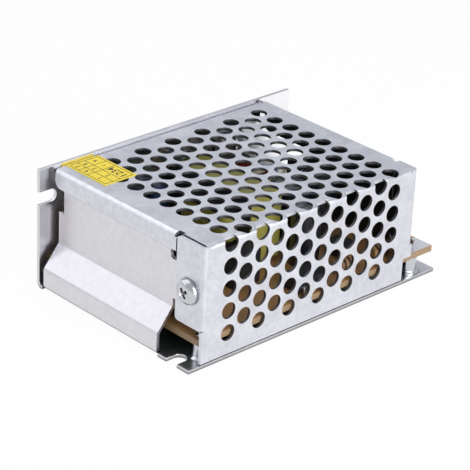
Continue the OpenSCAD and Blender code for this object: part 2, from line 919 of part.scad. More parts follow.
module line_choke_core() {
    color("dimgray")
        along_y(choke_y0 + choke_w / 2 - choke_leg / 2, choke_y0 + choke_w / 2 + choke_leg / 2)
            difference() {
                translate([choke_x0, board_top + 1])
                    square([choke_l, choke_h - 1]);
                translate([choke_x0 + choke_leg, board_top + 1 + choke_leg])
                    square([choke_l - 2 * choke_leg, choke_h - 1 - 2 * choke_leg]);
            }
}

coil_z0 = board_top + 1 + choke_leg + 0.2;
coil_z1 = board_top + choke_h - choke_leg - 0.2;
coil_room = 0.1;

module coil_plan(out, inner) {
    for (x = [choke_x0 + choke_leg / 2, choke_x0 + choke_l - choke_leg / 2])
        difference() {
            translate([x - out, choke_y0 + choke_w / 2 - out])
                square(2 * out);
            translate([x - inner, choke_y0 + choke_w / 2 - inner])
                square(2 * inner);
        }
}

module line_choke_bobbin() {
    inner = choke_leg / 2 + coil_room;
    color("black") {
        for (z = [coil_z0, coil_z1 - 0.7])
            translate([0, 0, z])
                linear_extrude(0.7)
                    coil_plan(inner + 2.9, inner);
        translate([0, 0, coil_z0 + 0.7])
            linear_extrude(coil_z1 - coil_z0 - 1.4)
                coil_plan(inner + 0.5, inner);
        // feet that stand on the board at both ends
        for (side = [-1, 1])
            block([choke_x0, choke_y0 + choke_w / 2 + side * 3.3 - 1.2, board_top],
                [choke_x0 + choke_l, choke_y0 + choke_w / 2 + side * 3.3 + 1.2, coil_z0 + 0.3]);
    }
}

module line_choke_windings() {
    inner = choke_leg / 2 + coil_room + 0.5;
    color("peru")
        translate([0, 0, coil_z0 + 0.7])
            linear_extrude(coil_z1 - coil_z0 - 1.4)
                coil_plan(inner + 2, inner);
}

// ---------------------------------------------------------------- semiconductors

// Three-leaded power package standing on its leads, its tab towards the wall
module power_package() {
    lead_pitch = 2.54;
    lead_w = 0.8;
    difference() {
        union() {
            block([-package_w / 2, package_far - tab_t, package_z],
                [package_w / 2, package_far, package_z + package_h]);
            block([-package_w / 2, package_far - package_t, package_z],
                [package_w / 2, package_far - 0.3, package_z + package_body_h]);
            for (k = [-1:1])
                block([k * lead_pitch - lead_w / 2, package_far - 2.9, board_top],
                    [k * lead_pitch + lead_w / 2, package_far - 2.4, package_z + 0.5]);
        }
        translate([0, package_far + over, package_hole_z])
            rotate([90, 0, 0])
                cylinder(h = tab_t + 2 * over, r = screw_thread / 2 + 0.3);
    }
}

module switching_transistor() {
    color("dimgray")
        translate([transistor_x, 0, 0])
            power_package();
}

module output_rectifier() {
    color("dimgray")
        translate([rectifier_x, 0, 0])
            power_package();
}

module transistor_pads() {
    margin = 0.8;
    color("lightgray")
        for (x = [transistor_x, rectifier_x])
            difference() {
                block([x - package_w / 2 - margin, package_far, package_z - 0.4],
                    [x + package_w / 2 + margin, package_far + pad_t,
                        package_z + package_h + 0.4]);
                translate([x, package_far + pad_t + over, package_hole_z])
                    rotate([90, 0, 0])
                        cylinder(h = pad_t + 2 * over, r = screw_thread / 2 + 0.3);
            }
}

module transistor_screws() {
    color("silver")
        for (x = [transistor_x, rectifier_x])
            translate([x, package_far - tab_t, package_hole_z])
                rotate([90, 0, 0])
                    pan_screw(5.4, 1.6, screw_thread, tab_t + pad_t + chassis_t - 0.1);
}

// Bridge of four diodes in one flat package, on edge across the board
module bridge_rectifier() {
    bridge_t = 3.4;
    lead_pitch = 3.3;
    color("dimgray") {
        block([bridge_x0, bridge_y0, board_top + 2.5],
            [bridge_x0 + bridge_t, bridge_y0 + bridge_l, board_top + 12.5]);
        for (k = [-1.5:1.5])
            translate([bridge_x0 + bridge_t / 2, bridge_y0 + bridge_l / 2 + k * lead_pitch,
                board_top])
                cylinder(h = 3, d = 0.9);
    }
}

// ---------------------------------------------------------------- output inductor

module stand_ring() {
    translate([ring_x, ring_y, ring_z])
        rotate([0, 90, 0])
            children();
}

module inductor_core() {
    color("palegoldenrod")
        stand_ring()
            translate([0, 0, -ring_w / 2])
                difference() {
                    cylinder(h = ring_w, d = ring_od);
                    translate([0, 0, -over])
                        cylinder(h = ring_w + 2 * over, d = ring_id);
                }
}

module inductor_winding() {
    gap = 0.05;
    radial = (ring_od - ring_id) / 2;
    color("indianred")
        stand_ring()
            for (i = [0:turns - 1])
                rotate((i + 0.5) * 360 / turns)
                    translate([ring_id / 2, wire_d / 2, 0])
                        rotate([90, 0, 0])
                            linear_extrude(wire_d)
                                difference() {
                                    round_rect(-gap - wire_d, -ring_w / 2 - gap - wire_d,
                                        radial + gap + wire_d, ring_w / 2 + gap + wire_d,
                                        wire_d);
                                    translate([-gap, -ring_w / 2 - gap])
                                        square([radial + 2 * gap, ring_w + 2 * gap]);
                                }
}

// ---------------------------------------------------------------- small parts

// Dual in-line package with n legs a side, centred, standing on the board
module dual_in_line(n) {
    body_w = 6.4;
    body_h = 3.3;
    row = 7.62;
    block([-n * 1.27 - 0.1, -body_w / 2, board_top + 0.5],
        [n * 1.27 + 0.1, body_w / 2, board_top + 0.5 + body_h]);
    for (k = [0:n - 1], side = [-1, 1]) {
        x = (k - (n - 1) / 2) * 2.54;
        block([x - 0.6, side < 0 ? -row / 2 - 0.12 : body_w / 2 - 0.1, board_top + 2],
            [x + 0.6, side < 0 ? 0.1 - body_w / 2 : row / 2 + 0.12, board_top + 2.25]);
        block([x - 0.25, side * row / 2 - 0.12, board_top],
            [x + 0.25, side * row / 2 + 0.12, board_top + 2.25]);
    }
}

module control_chip() {
    color("black")
        translate([chip_x, small_y, 0])
            dual_in_line(4);
}

module optocoupler() {
    color("black")
        translate([pair_x - 5.9, board_near + 11.6, 0])
            dual_in_line(2);
}

// Two axial resistors in a line along the near edge, between the chip and the stud
module resistors() {
    body_d = 3.4;
    lead_d = 0.6;
    row_left = chip_x + chip_half + 2.7;
    row_right = stud_spots[1].x - 0.7;
    reach = (row_right - row_left) / 4 - 0.45;
    body_l = 2 * reach - 3.8;
    color("burlywood")
        for (x = [row_left + reach + 0.3, row_right - reach - 0.3])
            translate([x, small_y, board_top]) {
                translate([-body_l / 2, 0, body_d / 2])
                    rotate([0, 90, 0])
                        cylinder(h = body_l, d = body_d);
                translate([0.3 - reach, 0, body_d / 2])
                    rotate([0, 90, 0])
                        cylinder(h = 2 * (reach - 0.3), d = lead_d);
                for (side = [-1, 1])
                    translate([side * (reach - 0.6), 0, 0])
                        cylinder(h = body_d / 2, d = lead_d);
            }
}

module indicator_lamp() {
    lens_d = 3;
    color("lightgreen")
        translate([board_right - 9.3, board_far - 3.9, board_top])
            rotate_extrude()
                polygon([[0, 0], [1.9, 0], [1.9, 1], [lens_d / 2, 1], [lens_d / 2, 3.6],
                    for (a = [15:15:75]) [lens_d / 2 * cos(a), 3.6 + lens_d / 2 * sin(a)],
                    [0, 3.6 + lens_d / 2]]);
}

trimmer_x = board_right - 3.7;
trimmer_y = board_far - 3.9;
trimmer_h = 3.8;
rotor_z = board_top + 2;

module trimmer_body() {
    color("steelblue")
        difference() {
            block([trimmer_x - trimmer_side / 2, trimmer_y - trimmer_side / 2, board_top],
                [trimmer_x + trimmer_side / 2, trimmer_y + trimmer_side / 2,
                    board_top + trimmer_h]);
            translate([trimmer_x, trimmer_y, rotor_z])
                cylinder(h = trimmer_h, r = rotor_d / 2 + fit);
        }
}

module trimmer_rotor() {
    blade = 0.8;
    color("ivory")
        translate([trimmer_x, trimmer_y, rotor_z + 0.1])
            difference() {
                cylinder(h = trimmer_h - 2, d = rotor_d);
                for (a = [0, 90])
                    rotate(a)
                        translate([-1.6, -blade / 2, trimmer_h - 3])
                            cube([3.2, blade, over + recess_depth]);
            }
}

chassis();
cover();
cover_screw();
label();
insulating_sheet();
circuit_board();
standoffs();
board_screws();
terminal_housing();
terminal_contacts();
terminal_clamp(1);  // terminal_clamp_1
terminal_clamp(2);  // terminal_clamp_2
terminal_clamp(3);  // terminal_clamp_3
terminal_clamp(4);  // terminal_clamp_4
terminal_clamp(5);  // terminal_clamp_5
terminal_screw(1);  // terminal_screw_1
terminal_screw(2);  // terminal_screw_2
terminal_screw(3);  // terminal_screw_3
terminal_screw(4);  // terminal_screw_4
terminal_screw(5);  // terminal_screw_5
transformer_core();
core_tape();
transformer_bobbin();
transformer_winding();
bulk_capacitor_can();
bulk_capacitor_sleeve();
output_capacitor_cans();
output_capacitor_sleeves();
x_capacitor();
y_capacitor();
line_choke_core();
line_choke_bobbin();
line_choke_windings();
fuse();
thermistor();
bridge_rectifier();
switching_transistor();
output_rectifier();
transistor_pads();
transistor_screws();
inductor_core();
inductor_winding();
control_chip();
optocoupler();
resistors();
indicator_lamp();
trimmer_body();
trimmer_rotor();
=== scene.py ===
# %% [markdown]
# Mesh case switching power supply.
# A small mains supply: a folded, bright galvanised chassis, a folded perforated
# cover, and a board full of parts that is seen only through the holes.
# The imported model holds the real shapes. This script dresses them: it rounds the
# sheared edges, gives each piece the finish of its real material, and adds what
# is too fine for the solids, such as windings, solder, print and screw threads.
# Every length is in metres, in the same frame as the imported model. Sizes that are
# easier to read in millimetres end in _MM and are turned to metres where used.

import json
import math

import bmesh
import bpy
from mathutils import Matrix, Vector


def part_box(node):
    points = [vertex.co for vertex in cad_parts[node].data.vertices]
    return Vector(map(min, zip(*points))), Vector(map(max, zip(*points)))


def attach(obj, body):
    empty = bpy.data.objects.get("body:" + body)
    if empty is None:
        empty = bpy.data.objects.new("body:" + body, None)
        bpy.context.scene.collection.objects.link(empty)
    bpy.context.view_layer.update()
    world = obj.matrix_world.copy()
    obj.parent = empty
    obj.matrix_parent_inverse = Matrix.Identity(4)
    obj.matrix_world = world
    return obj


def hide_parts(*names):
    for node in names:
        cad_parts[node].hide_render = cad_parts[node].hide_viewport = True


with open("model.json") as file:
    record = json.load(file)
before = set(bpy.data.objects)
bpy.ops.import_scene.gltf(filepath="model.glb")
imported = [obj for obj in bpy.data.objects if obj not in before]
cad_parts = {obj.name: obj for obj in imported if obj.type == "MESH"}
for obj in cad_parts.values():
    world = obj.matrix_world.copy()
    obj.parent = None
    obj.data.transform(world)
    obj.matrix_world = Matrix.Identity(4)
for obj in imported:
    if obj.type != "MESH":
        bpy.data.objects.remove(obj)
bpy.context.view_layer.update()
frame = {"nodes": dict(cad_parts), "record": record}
MM = 0.001
nodes = frame["nodes"]
record = frame["record"]
home = {name: body for body, held in record["behaviour"]["bodies"].items() for name in held}

# %% [markdown]
# The camera stands where a buyer would hold the supply: turned 44 degrees to the
# left of the mesh side, 26 degrees up, from half a metre away with a long lens,
# and rolled by under three degrees.

# %% Camera
VIEW_AZIMUTH = -44.414
VIEW_ELEVATION = 26.225
VIEW_ROLL = 2.814
VIEW_DISTANCE = 549.28 * MM
VIEW_TARGET = Vector((-1.917, -0.04, 13.219)) * MM
LENS_MM = 164.17
NEAREST_MM = 10

azimuth = math.radians(VIEW_AZIMUTH)
elevation = math.radians(VIEW_ELEVATION)
camera_way = Vector((
    math.sin(azimuth) * math.cos(elevation),
    -math.cos(azimuth) * math.cos(elevation),
    math.sin(elevation),
))
camera = bpy.data.objects.new("camera", bpy.data.cameras.new("camera"))
bpy.context.scene.collection.objects.link(camera)
camera.data.lens = LENS_MM
camera.data.clip_start = NEAREST_MM * MM
camera.location = VIEW_TARGET + camera_way * VIEW_DISTANCE
camera.rotation_mode = "QUATERNION"
looking = camera_way.to_track_quat("Z", "Y")
roll = Matrix.Rotation(math.radians(VIEW_ROLL), 4, "Z").to_quaternion()
camera.rotation_quaternion = looking @ roll
bpy.context.scene.camera = camera
bpy.context.scene.view_settings.view_transform = "Standard"
print("camera at", [round(v / MM) for v in camera.location], "mm")


# %% [markdown]
# Three helpers carry all the materials. One turns a colour as it is written on a
# screen into the linear value that the renderer works with, by the sRGB curve.
# One adds a shader or geometry node, sets its options and links its inputs in one
# line. One starts a material, with the object's own coordinates ready, so that a
# pattern stays on the piece when it moves.

# %% Helpers for node trees
def linear(hex_colour):
    """A hex colour as linear red, green, blue and alpha."""
    parts = [int(hex_colour[i:i + 2], 16) / 255 for i in (1, 3, 5)]
    return [c / 12.92 if c <= 0.04045 else ((c + 0.055) / 1.055) ** 2.4 for c in parts] + [1.0]


# The colour sockets of a Mix node: its two inputs and its result, by number,
# because they share their names with the sockets for plain numbers.
MIX_A, MIX_B, MIX_COLOUR = 6, 7, 2


def add_node(tree, kind, inputs=None, **settings):
    """Adds a node. Each input is a value, or an output socket to link from."""
    node = tree.nodes.new(kind)
    for name, value in settings.items():
        setattr(node, name, value)
    for key, value in (inputs or {}).items():
        if isinstance(value, bpy.types.NodeSocket):
            tree.links.new(value, node.inputs[key])
        else:
            node.inputs[key].default_value = value
    return node


def start_material(name, **surface):
    """A new material: its tree, its shader and its object coordinates."""
    material = bpy.data.materials.new(name)
    material.use_nodes = True
    tree = material.node_tree
    shader = tree.nodes["Principled BSDF"]
    for key, value in surface.items():
        shader.inputs[key.replace("_", " ")].default_value = value
    place = add_node(tree, "ShaderNodeTexCoord").outputs["Object"]
    return material, tree, shader, place


print("mid grey #808080 is", round(linear("#808080")[0], 3), "in linear light")

# %% [markdown]
# Light comes as in a small light tent, with a pale backdrop all round. Sheet metal
# shows what it mirrors, so it sees the same pale backdrop and white floor as the
# eye does. That paleness comes from what the rays see, so the lamps can stay low,
# and the light that reaches the small parts under the cover stays dim.

# %% World
ROOM_STRENGTH = 0.42
BACKDROP_STRENGTH = 1.0
world = bpy.data.worlds.new("pale_room")
bpy.context.scene.world = world
world.use_nodes = True
world_tree = world.node_tree
world_tree.nodes.clear()


def straight_rays(tree):
    """1 for rays that the eye follows directly, in a mirror or through glass."""
    ray = add_node(tree, "ShaderNodeLightPath")
    seen = add_node(tree, "ShaderNodeMath", {
        0: ray.outputs["Is Camera Ray"], 1: ray.outputs["Is Glossy Ray"]}, operation="MAXIMUM")
    return add_node(tree, "ShaderNodeMath", {
        0: seen.outputs[0], 1: ray.outputs["Is Transmission Ray"]}, operation="MAXIMUM").outputs[0]


room_light = add_node(world_tree, "ShaderNodeBackground", {
    "Color": linear("#E2E4E8"), "Strength": ROOM_STRENGTH})
backdrop_light = add_node(world_tree, "ShaderNodeBackground", {
    "Color": linear("#CACDD3"), "Strength": BACKDROP_STRENGTH})
world_mix = add_node(world_tree, "ShaderNodeMixShader", {
    0: straight_rays(world_tree), 1: room_light.outputs[0], 2: backdrop_light.outputs[0]})
add_node(world_tree, "ShaderNodeOutputWorld", {"Surface": world_mix.outputs[0]})
print("room at", ROOM_STRENGTH, "and backdrop at", BACKDROP_STRENGTH)

# %% [markdown]
# Three square soft boxes make the bright stretches on the metal: a wide one in
# front of the mesh side, one over the top, and a dim one behind the closed end,
# which the leaning stretch of the end plate mirrors. Small lamps would leave hard
# spots on bright zinc, and large soft ones leave slow gradients.

# %% Lamps
LAMP_AIM = Vector((0, 0, 16)) * MM


def soft_box(name, size_mm, place_mm, power):
    """A square area lamp that looks at the middle of the object."""
    lamp = bpy.data.objects.new(name, bpy.data.lights.new(name, "AREA"))
    bpy.context.scene.collection.objects.link(lamp)
    lamp.data.shape = "SQUARE"
    lamp.data.size = size_mm * MM
    lamp.data.energy = power
    lamp.location = Vector(place_mm) * MM
    lamp.rotation_mode = "QUATERNION"
    lamp.rotation_quaternion = (lamp.location - LAMP_AIM).to_track_quat("Z", "Y")
    print(name, "gives", power, "W")


soft_box("front_box", 420, (-20, -420, 150), 2.9)
soft_box("top_box", 380, (40, 160, 480), 0.8)
soft_box("back_box", 400, (-260, 307, 264), 0.4)

# %% [markdown]
# The floor is a sheet of white paper. To the eye and in mirrors it glows almost
# pure white, and the rest of its light is plain paper, which keeps the soft shadow
# under the case. It lies a hair below the base, so that the two faces never share a plane.

# %% Floor
FLOOR_HALF = 3.0
FLOOR_DROP_MM = 0.02
FLOOR_GLOW = 0.95
floor_mesh = bpy.data.meshes.new("floor")
floor_mesh.from_pydata(
    [(-FLOOR_HALF, -FLOOR_HALF, 0), (FLOOR_HALF, -FLOOR_HALF, 0),
     (FLOOR_HALF, FLOOR_HALF, 0), (-FLOOR_HALF, FLOOR_HALF, 0)], [], [(0, 1, 2, 3)])
floor = bpy.data.objects.new("floor", floor_mesh)
bpy.context.scene.collection.objects.link(floor)
floor.location.z = -FLOOR_DROP_MM * MM

paper, paper_tree, paper_shader, _ = start_material("white_paper_sweep", Roughness=0.9)
paper_shader.inputs["Base Color"].default_value = linear("#F4F4F5")
glow = add_node(paper_tree, "ShaderNodeEmission", {"Color": linear("#FFFFFF"), "Strength": 1.0})
share = add_node(paper_tree, "ShaderNodeMath", {
    0: straight_rays(paper_tree), 1: FLOOR_GLOW}, operation="MULTIPLY")
paper_mix = add_node(paper_tree, "ShaderNodeMixShader", {
    0: share.outputs[0], 1: paper_shader.outputs[0], 2: glow.outputs[0]})
paper_tree.links.new(paper_mix.outputs[0], paper_tree.nodes["Material Output"].inputs["Surface"])
floor.data.materials.append(paper)
print("floor is", 2 * FLOOR_HALF, "m wide")


# %% [markdown]
# Galvanised steel sheet. Zinc over cold rolled steel is a bright, slightly blue
# metal with a satin sheen. The rolls leave hair-fine lines along the sheet, and
# the zinc dries in soft patches a few millimetres wide, so the shine is uneven.
# Both patterns are stretched or scaled noise in real millimetres. Handling adds
# small scuffs. Where two surfaces meet closely, the colour is darkened into a line
# of painted shade, which an Ambient Occlusion node finds within a set distance.
# Noise was chosen over a drawn pattern because zinc never repeats.

# %% Sheet metal
ROLL_MM = 12
GRAIN_DEPTH_MM = 0.02
SCUFF_MM = 1.6
# Painted shade in creases: the darkest share of the colour where surfaces meet closely.
PAINTED_CREASE_SHADE = 0.12
SHUT_IN, IN_THE_OPEN = 0.45, 0.92


def sheet_metal(name, colour, dark, roughness, spread, grain_mm, grain_depth, patch_mm,
                wear, crease_shade_mm):
    """Rolled zinc-coated sheet. The shine varies by spread, and the tone by wear and by painted shade
    in creases.
    """
    material, tree, shader, place = start_material(name, Metallic=1.0)
    rolled = add_node(tree, "ShaderNodeMapping", {
        "Vector": place, "Scale": (1 / (ROLL_MM * MM), 1 / (grain_mm * MM), 1 / (grain_mm * MM))})
    lines = add_node(tree, "ShaderNodeTexNoise", {
        "Vector": rolled.outputs[0], "Scale": 1.0, "Detail": 2.0, "Roughness": 0.6})
    patches = add_node(tree, "ShaderNodeTexNoise", {
        "Vector": place, "Scale": 1 / (patch_mm * MM), "Detail": 3.0, "Roughness": 0.55})
    tone = add_node(tree, "ShaderNodeMix", {
        "Factor": patches.outputs["Fac"], MIX_A: linear(dark), MIX_B: linear(colour)},
        data_type="RGBA")
    scuffs = add_node(tree, "ShaderNodeTexNoise", {
        "Vector": place, "Scale": 1 / (SCUFF_MM * MM), "Detail": 4.0, "Roughness": 0.7})
    worn = add_node(tree, "ShaderNodeMapRange", {
        "Value": scuffs.outputs["Fac"], "From Min": 0.35, "From Max": 0.65,
        "To Min": 1.0 - wear, "To Max": 1.0 + wear})
    # Painted shade: the colour darkens where another surface is close, as in the shade of a crease.
    open_air = add_node(tree, "ShaderNodeAmbientOcclusion", {"Distance": crease_shade_mm * MM})
    crease = add_node(tree, "ShaderNodeMapRange", {
        "Value": open_air.outputs["AO"], "From Min": SHUT_IN, "From Max": IN_THE_OPEN,
        "To Min": PAINTED_CREASE_SHADE, "To Max": 1.0})
    shade = add_node(tree, "ShaderNodeMath", {
        0: worn.outputs[0], 1: crease.outputs[0]}, operation="MULTIPLY")
    worn_and_shaded_tone = add_node(tree, "ShaderNodeVectorMath", {
        0: tone.outputs[MIX_COLOUR], "Scale": shade.outputs[0]}, operation="SCALE")
    tree.links.new(worn_and_shaded_tone.outputs[0], shader.inputs["Base Color"])
    shine = add_node(tree, "ShaderNodeMapRange", {
        "Value": patches.outputs["Fac"], "From Min": 0.3, "From Max": 0.7,
        "To Min": roughness - spread, "To Max": roughness + spread})
    tree.links.new(shine.outputs[0], shader.inputs["Roughness"])
    bump = add_node(tree, "ShaderNodeBump", {
        "Height": lines.outputs["Fac"], "Strength": grain_depth, "Distance": GRAIN_DEPTH_MM * MM})
    tree.links.new(bump.outputs[0], shader.inputs["Normal"])
    return material


# Galvanised steel of the chassis, rolled flat: satin, with an even, pale tone.
galvanised = sheet_metal(
    "galvanised_sheet", "#E0DEE2", "#D0CED3", roughness=0.33, spread=0.05,
    grain_mm=0.35, grain_depth=0.12, patch_mm=9, wear=0.04, crease_shade_mm=1.7)
# Galvanised steel of the cover, punched and often touched: cooler and more cloudy.
perforated = sheet_metal(
    "perforated_galvanised_sheet", "#DFE0E6", "#CCCDD5", roughness=0.38, spread=0.06,
    grain_mm=0.4, grain_depth=0.4, patch_mm=5, wear=0.07, crease_shade_mm=0.5)
# The zinc inside the cover is rougher, and its colour is painted dark: painted shade, for the shade
# inside the cover.
inner_zinc_painted_shade = sheet_metal(
    "zinc_inside_painted_shade", "#4E5054", "#414347", roughness=0.55, spread=0.05,
    grain_mm=0.5, grain_depth=0.3, patch_mm=5, wear=0.05, crease_shade_mm=0.5)
# The punch shears the walls of the holes: bare steel, torn and grey.
sheared_steel = sheet_metal(
    "sheared_steel_edge", "#75757A", "#66666B", roughness=0.5, spread=0.05,
    grain_mm=0.2, grain_depth=0.3, patch_mm=2, wear=0.05, crease_shade_mm=0.3)
# Zinc painted almost white: painted light on the solid wall's inner face, which lights the holes from
# behind.
wall_zinc_painted_light = sheet_metal(
    "solid_wall_zinc_painted_light", "#FCFBFE", "#F2F1F4", roughness=0.3, spread=0.05,
    grain_mm=0.35, grain_depth=0.12, patch_mm=9, wear=0.02, crease_shade_mm=0.2)
print("sheet metals ready")


# %% [markdown]
# The small parts fall into two families. Metals are plated, drawn or varnished:
# one colour with faint smudges, which also change the shine. Plastics, lacquers
# and ceramics have two close colours in a slow cloud and a fine grain in the
# surface. Two functions make them all, so that no surface is one flat colour.

# %% How small parts are finished
SMUDGE_TONE = 0.8
CLOUD_PER_GRAIN = 9
MOULD_DEPTH_MM = 0.03


def plated(name, colour, roughness, smudge_mm=1.2):
    """Bright plating with faint finger marks."""
    material, tree, shader, place = start_material(name, Metallic=1.0)
    smudge = add_node(tree, "ShaderNodeTexNoise", {
        "Vector": place, "Scale": 1 / (smudge_mm * MM), "Detail": 3.0})
    tone = add_node(tree, "ShaderNodeMix", {
        "Factor": smudge.outputs["Fac"], MIX_A: linear(colour),
        MIX_B: [SMUDGE_TONE * c for c in linear(colour)[:3]] + [1]}, data_type="RGBA")
    tree.links.new(tone.outputs[MIX_COLOUR], shader.inputs["Base Color"])
    shine = add_node(tree, "ShaderNodeMapRange", {
        "Value": smudge.outputs["Fac"], "To Min": roughness * 0.7, "To Max": roughness * 1.4})
    tree.links.new(shine.outputs[0], shader.inputs["Roughness"])
    return material


def moulded(name, colour, second, roughness, grain_mm=0.3, grain_depth=0.3, coat=0.0):
    """Plastic, lacquer or ceramic: two close colours and a fine grain."""
    material, tree, shader, place = start_material(name, Coat_Weight=coat)
    grain = add_node(tree, "ShaderNodeTexNoise", {
        "Vector": place, "Scale": 1 / (grain_mm * MM), "Detail": 3.0})
    cloud = add_node(tree, "ShaderNodeTexNoise", {
        "Vector": place, "Scale": 1 / (grain_mm * CLOUD_PER_GRAIN * MM), "Detail": 2.0})
    tone = add_node(tree, "ShaderNodeMix", {
        "Factor": cloud.outputs["Fac"], MIX_A: linear(colour), MIX_B: linear(second)},
        data_type="RGBA")
    tree.links.new(tone.outputs[MIX_COLOUR], shader.inputs["Base Color"])
    shine = add_node(tree, "ShaderNodeMapRange", {
        "Value": cloud.outputs["Fac"], "To Min": roughness * 0.85, "To Max": roughness * 1.15})
    tree.links.new(shine.outputs[0], shader.inputs["Roughness"])
    bump = add_node(tree, "ShaderNodeBump", {
        "Height": grain.outputs["Fac"], "Strength": grain_depth, "Distance": MOULD_DEPTH_MM * MM})
    tree.links.new(bump.outputs[0], shader.inputs["Normal"])
    return material


print("two families of small finishes")

# %% [markdown]
# Now the finishes themselves, each named for its real material. A metal's colour
# is that of its polished surface, and a plastic's two colours lie close together.

# %% Finishes of the small parts
# Nickel plate on steel screws: hard and bright, with sharp reflections.
nickel = plated("nickel_plated_steel", "#D2D3D6", 0.2)
# Bright zinc plate on studs and clamps: slightly blue, nearly a mirror.
zinc_stud = plated("bright_zinc_plated_steel", "#D2D5DA", 0.16)
# Copper leads dipped in tin: pale grey with soft reflections.
tin = plated("tinned_copper", "#C6C7CC", 0.32)
# Solder levelled over the board's corner: paler and duller than a lead.
land_tin = plated("tinned_board_corner", "#EDEEF3", 0.42)
# Stamped brass under a thin coat of tin: its yellow shows through.
tinned_brass = plated("tinned_brass", "#D8C68E", 0.3)
# Deep-drawn aluminium cans: a clean, neutral satin.
drawn_aluminium = plated("drawn_aluminium", "#C9CACD", 0.3)
# Copper wire in clear varnish: a deep, warm gloss.
bare_copper = plated("enamelled_copper", "#A8603A", 0.3, 0.8)
# Copper wire in red varnish: darker, with the same gloss.
red_copper = plated("red_enamelled_copper", "#8E2F28", 0.32, 0.8)
# Black polyester moulding: smooth, with a half-dull skin from the mould.
black_plastic = moulded("black_polyester_moulding", "#151618", "#1C1D20", 0.45)
# Epoxy pressed round chips: black and matt, because its mould is blasted.
black_epoxy = moulded("black_epoxy_package", "#17181A", "#202124", 0.55, 0.15, 0.5)
# Pressed and fired ferrite: dark grey ceramic with a dry, gritty face.
ferrite = moulded("sintered_ferrite", "#2C2D31", "#222327", 0.55, 0.2, 0.6)
# Thin polyester tape over dark windings: olive yellow with a soft gloss.
yellow_tape = moulded("yellow_polyester_tape", "#B9B45E", "#A8A24E", 0.32, 0.5, 0.15, 0.3)
# Phenolic moulding: very dark brown and a little coarse.
dark_bobbin = moulded("dark_phenolic_moulding", "#1D1714", "#15110F", 0.5)
# Heat-shrunk sleeve of vinyl: dark, glossy and slightly wavy.
dark_sleeve = moulded("dark_shrink_sleeve", "#15171D", "#1D2027", 0.3, 0.6, 0.1, 0.4)
# Moulded box of a film capacitor: dark grey and smooth.
dark_box = moulded("dark_polyester_box", "#1D1E22", "#26272B", 0.4, 0.4, 0.2)
# Dipped blue epoxy: thick and glossy, with a slight orange peel.
blue_lacquer = moulded("blue_epoxy_coating", "#27507F", "#1F4270", 0.3, 0.5, 0.3, 0.5)
# The same kind of dip in dark green.
green_lacquer = moulded("dark_green_coating", "#1F3529", "#172A20", 0.35, 0.4, 0.3, 0.4)
# Iron powder ring under a sprayed cream coat: an eggshell gloss.
cream_core = moulded("cream_coated_iron_powder", "#D6CDB6", "#C6BDA4", 0.4, 0.4, 0.3)
# Brown moulded body of the fuse: plain and half dull.
fuse_brown = moulded("brown_fuse_body", "#3E2A1D", "#33221A", 0.45)
# Silicone sheet filled with powder: matt mid grey.
grey_pad = moulded("grey_silicone_pad", "#6E7175", "#606367", 0.7, 0.2, 0.4)
# Baked tan lacquer on resistors: thick and shiny.
tan_resistor = moulded("tan_resistor_lacquer", "#A5825A", "#94734D", 0.4, 0.3, 0.3, 0.3)
# Blue moulded nylon of the trimmer: clean and half dull.
blue_moulding = moulded("blue_trimmer_moulding", "#2F6DB3", "#285F9F", 0.4)
# White moulded acetal: waxy and slightly warm.
white_rotor = moulded("white_acetal_rotor", "#E9E6DC", "#DEDACD", 0.4)
print(len(bpy.data.materials), "materials so far")


# %% [markdown]
# The board is phenolic paper laminate: sheets of paper pressed with resin, tan and
# faintly fibrous on top, greyer on its sawn edges. Its copper and green solder mask
# are on the underside. One material serves all its faces, and picks the colour by
# which way the surface looks, since one solid can hold only one material of its own.

# %% Board
LOOKS_UP, LOOKS_DOWN = 0.5, -0.5
FIBRE_MM = (2.5, 0.4, 0.15)


def laminate():
    """Paper laminate: tan on top, greyer on cut edges, green mask underneath."""
    material, tree, shader, place = start_material("phenolic_paper_board")
    fibres = add_node(tree, "ShaderNodeMapping", {
        "Vector": place, "Scale": [1 / (length * MM) for length in FIBRE_MM]})
    paper_noise = add_node(tree, "ShaderNodeTexNoise", {
        "Vector": fibres.outputs[0], "Scale": 1.0, "Detail": 3.0})
    tan = add_node(tree, "ShaderNodeMix", {
        "Factor": paper_noise.outputs["Fac"], MIX_A: linear("#B48A5C"), MIX_B: linear("#9A7248")},
        data_type="RGBA")
    facing = add_node(tree, "ShaderNodeNewGeometry").outputs["Normal"]
    upward = add_node(tree, "ShaderNodeSeparateXYZ", {"Vector": facing})
    tone = tan
    for limit, colour in ((LOOKS_UP, "#8A7358"), (LOOKS_DOWN, "#1F4A33")):
        below = add_node(tree, "ShaderNodeMath", {
            0: upward.outputs["Z"], 1: limit}, operation="LESS_THAN")
        tone = add_node(tree, "ShaderNodeMix", {
            "Factor": below.outputs[0], MIX_A: tone.outputs[MIX_COLOUR], MIX_B: linear(colour)},
            data_type="RGBA")
    tree.links.new(tone.outputs[MIX_COLOUR], shader.inputs["Base Color"])
    shader.inputs["Roughness"].default_value = 0.42
    return material


board_material = laminate()
print("board material has", len(board_material.node_tree.nodes), "nodes")


# %% [markdown]
# Two things let light through: the thin polyester film that keeps the board's
# solder side off the metal, and the cast green epoxy of the indicator lamp. Both
# are smooth with a slow wave in the surface, so one function makes them. The
# sticker is printed vinyl: bright yellow with a low gloss, and its ink is matt black.

# %% Film, lamp and sticker
def clear_plastic(name, colour, wave_mm, wave_strength, wave_depth_mm, **surface):
    """Film or cast resin whose surface waves slowly."""
    material, tree, shader, place = start_material(name, **surface)
    shader.inputs["Base Color"].default_value = linear(colour)
    haze = add_node(tree, "ShaderNodeTexNoise", {"Vector": place, "Scale": 1 / (wave_mm * MM)})
    bump = add_node(tree, "ShaderNodeBump", {
        "Height": haze.outputs["Fac"], "Strength": wave_strength,
        "Distance": wave_depth_mm * MM})
    tree.links.new(bump.outputs[0], shader.inputs["Normal"])
    return material


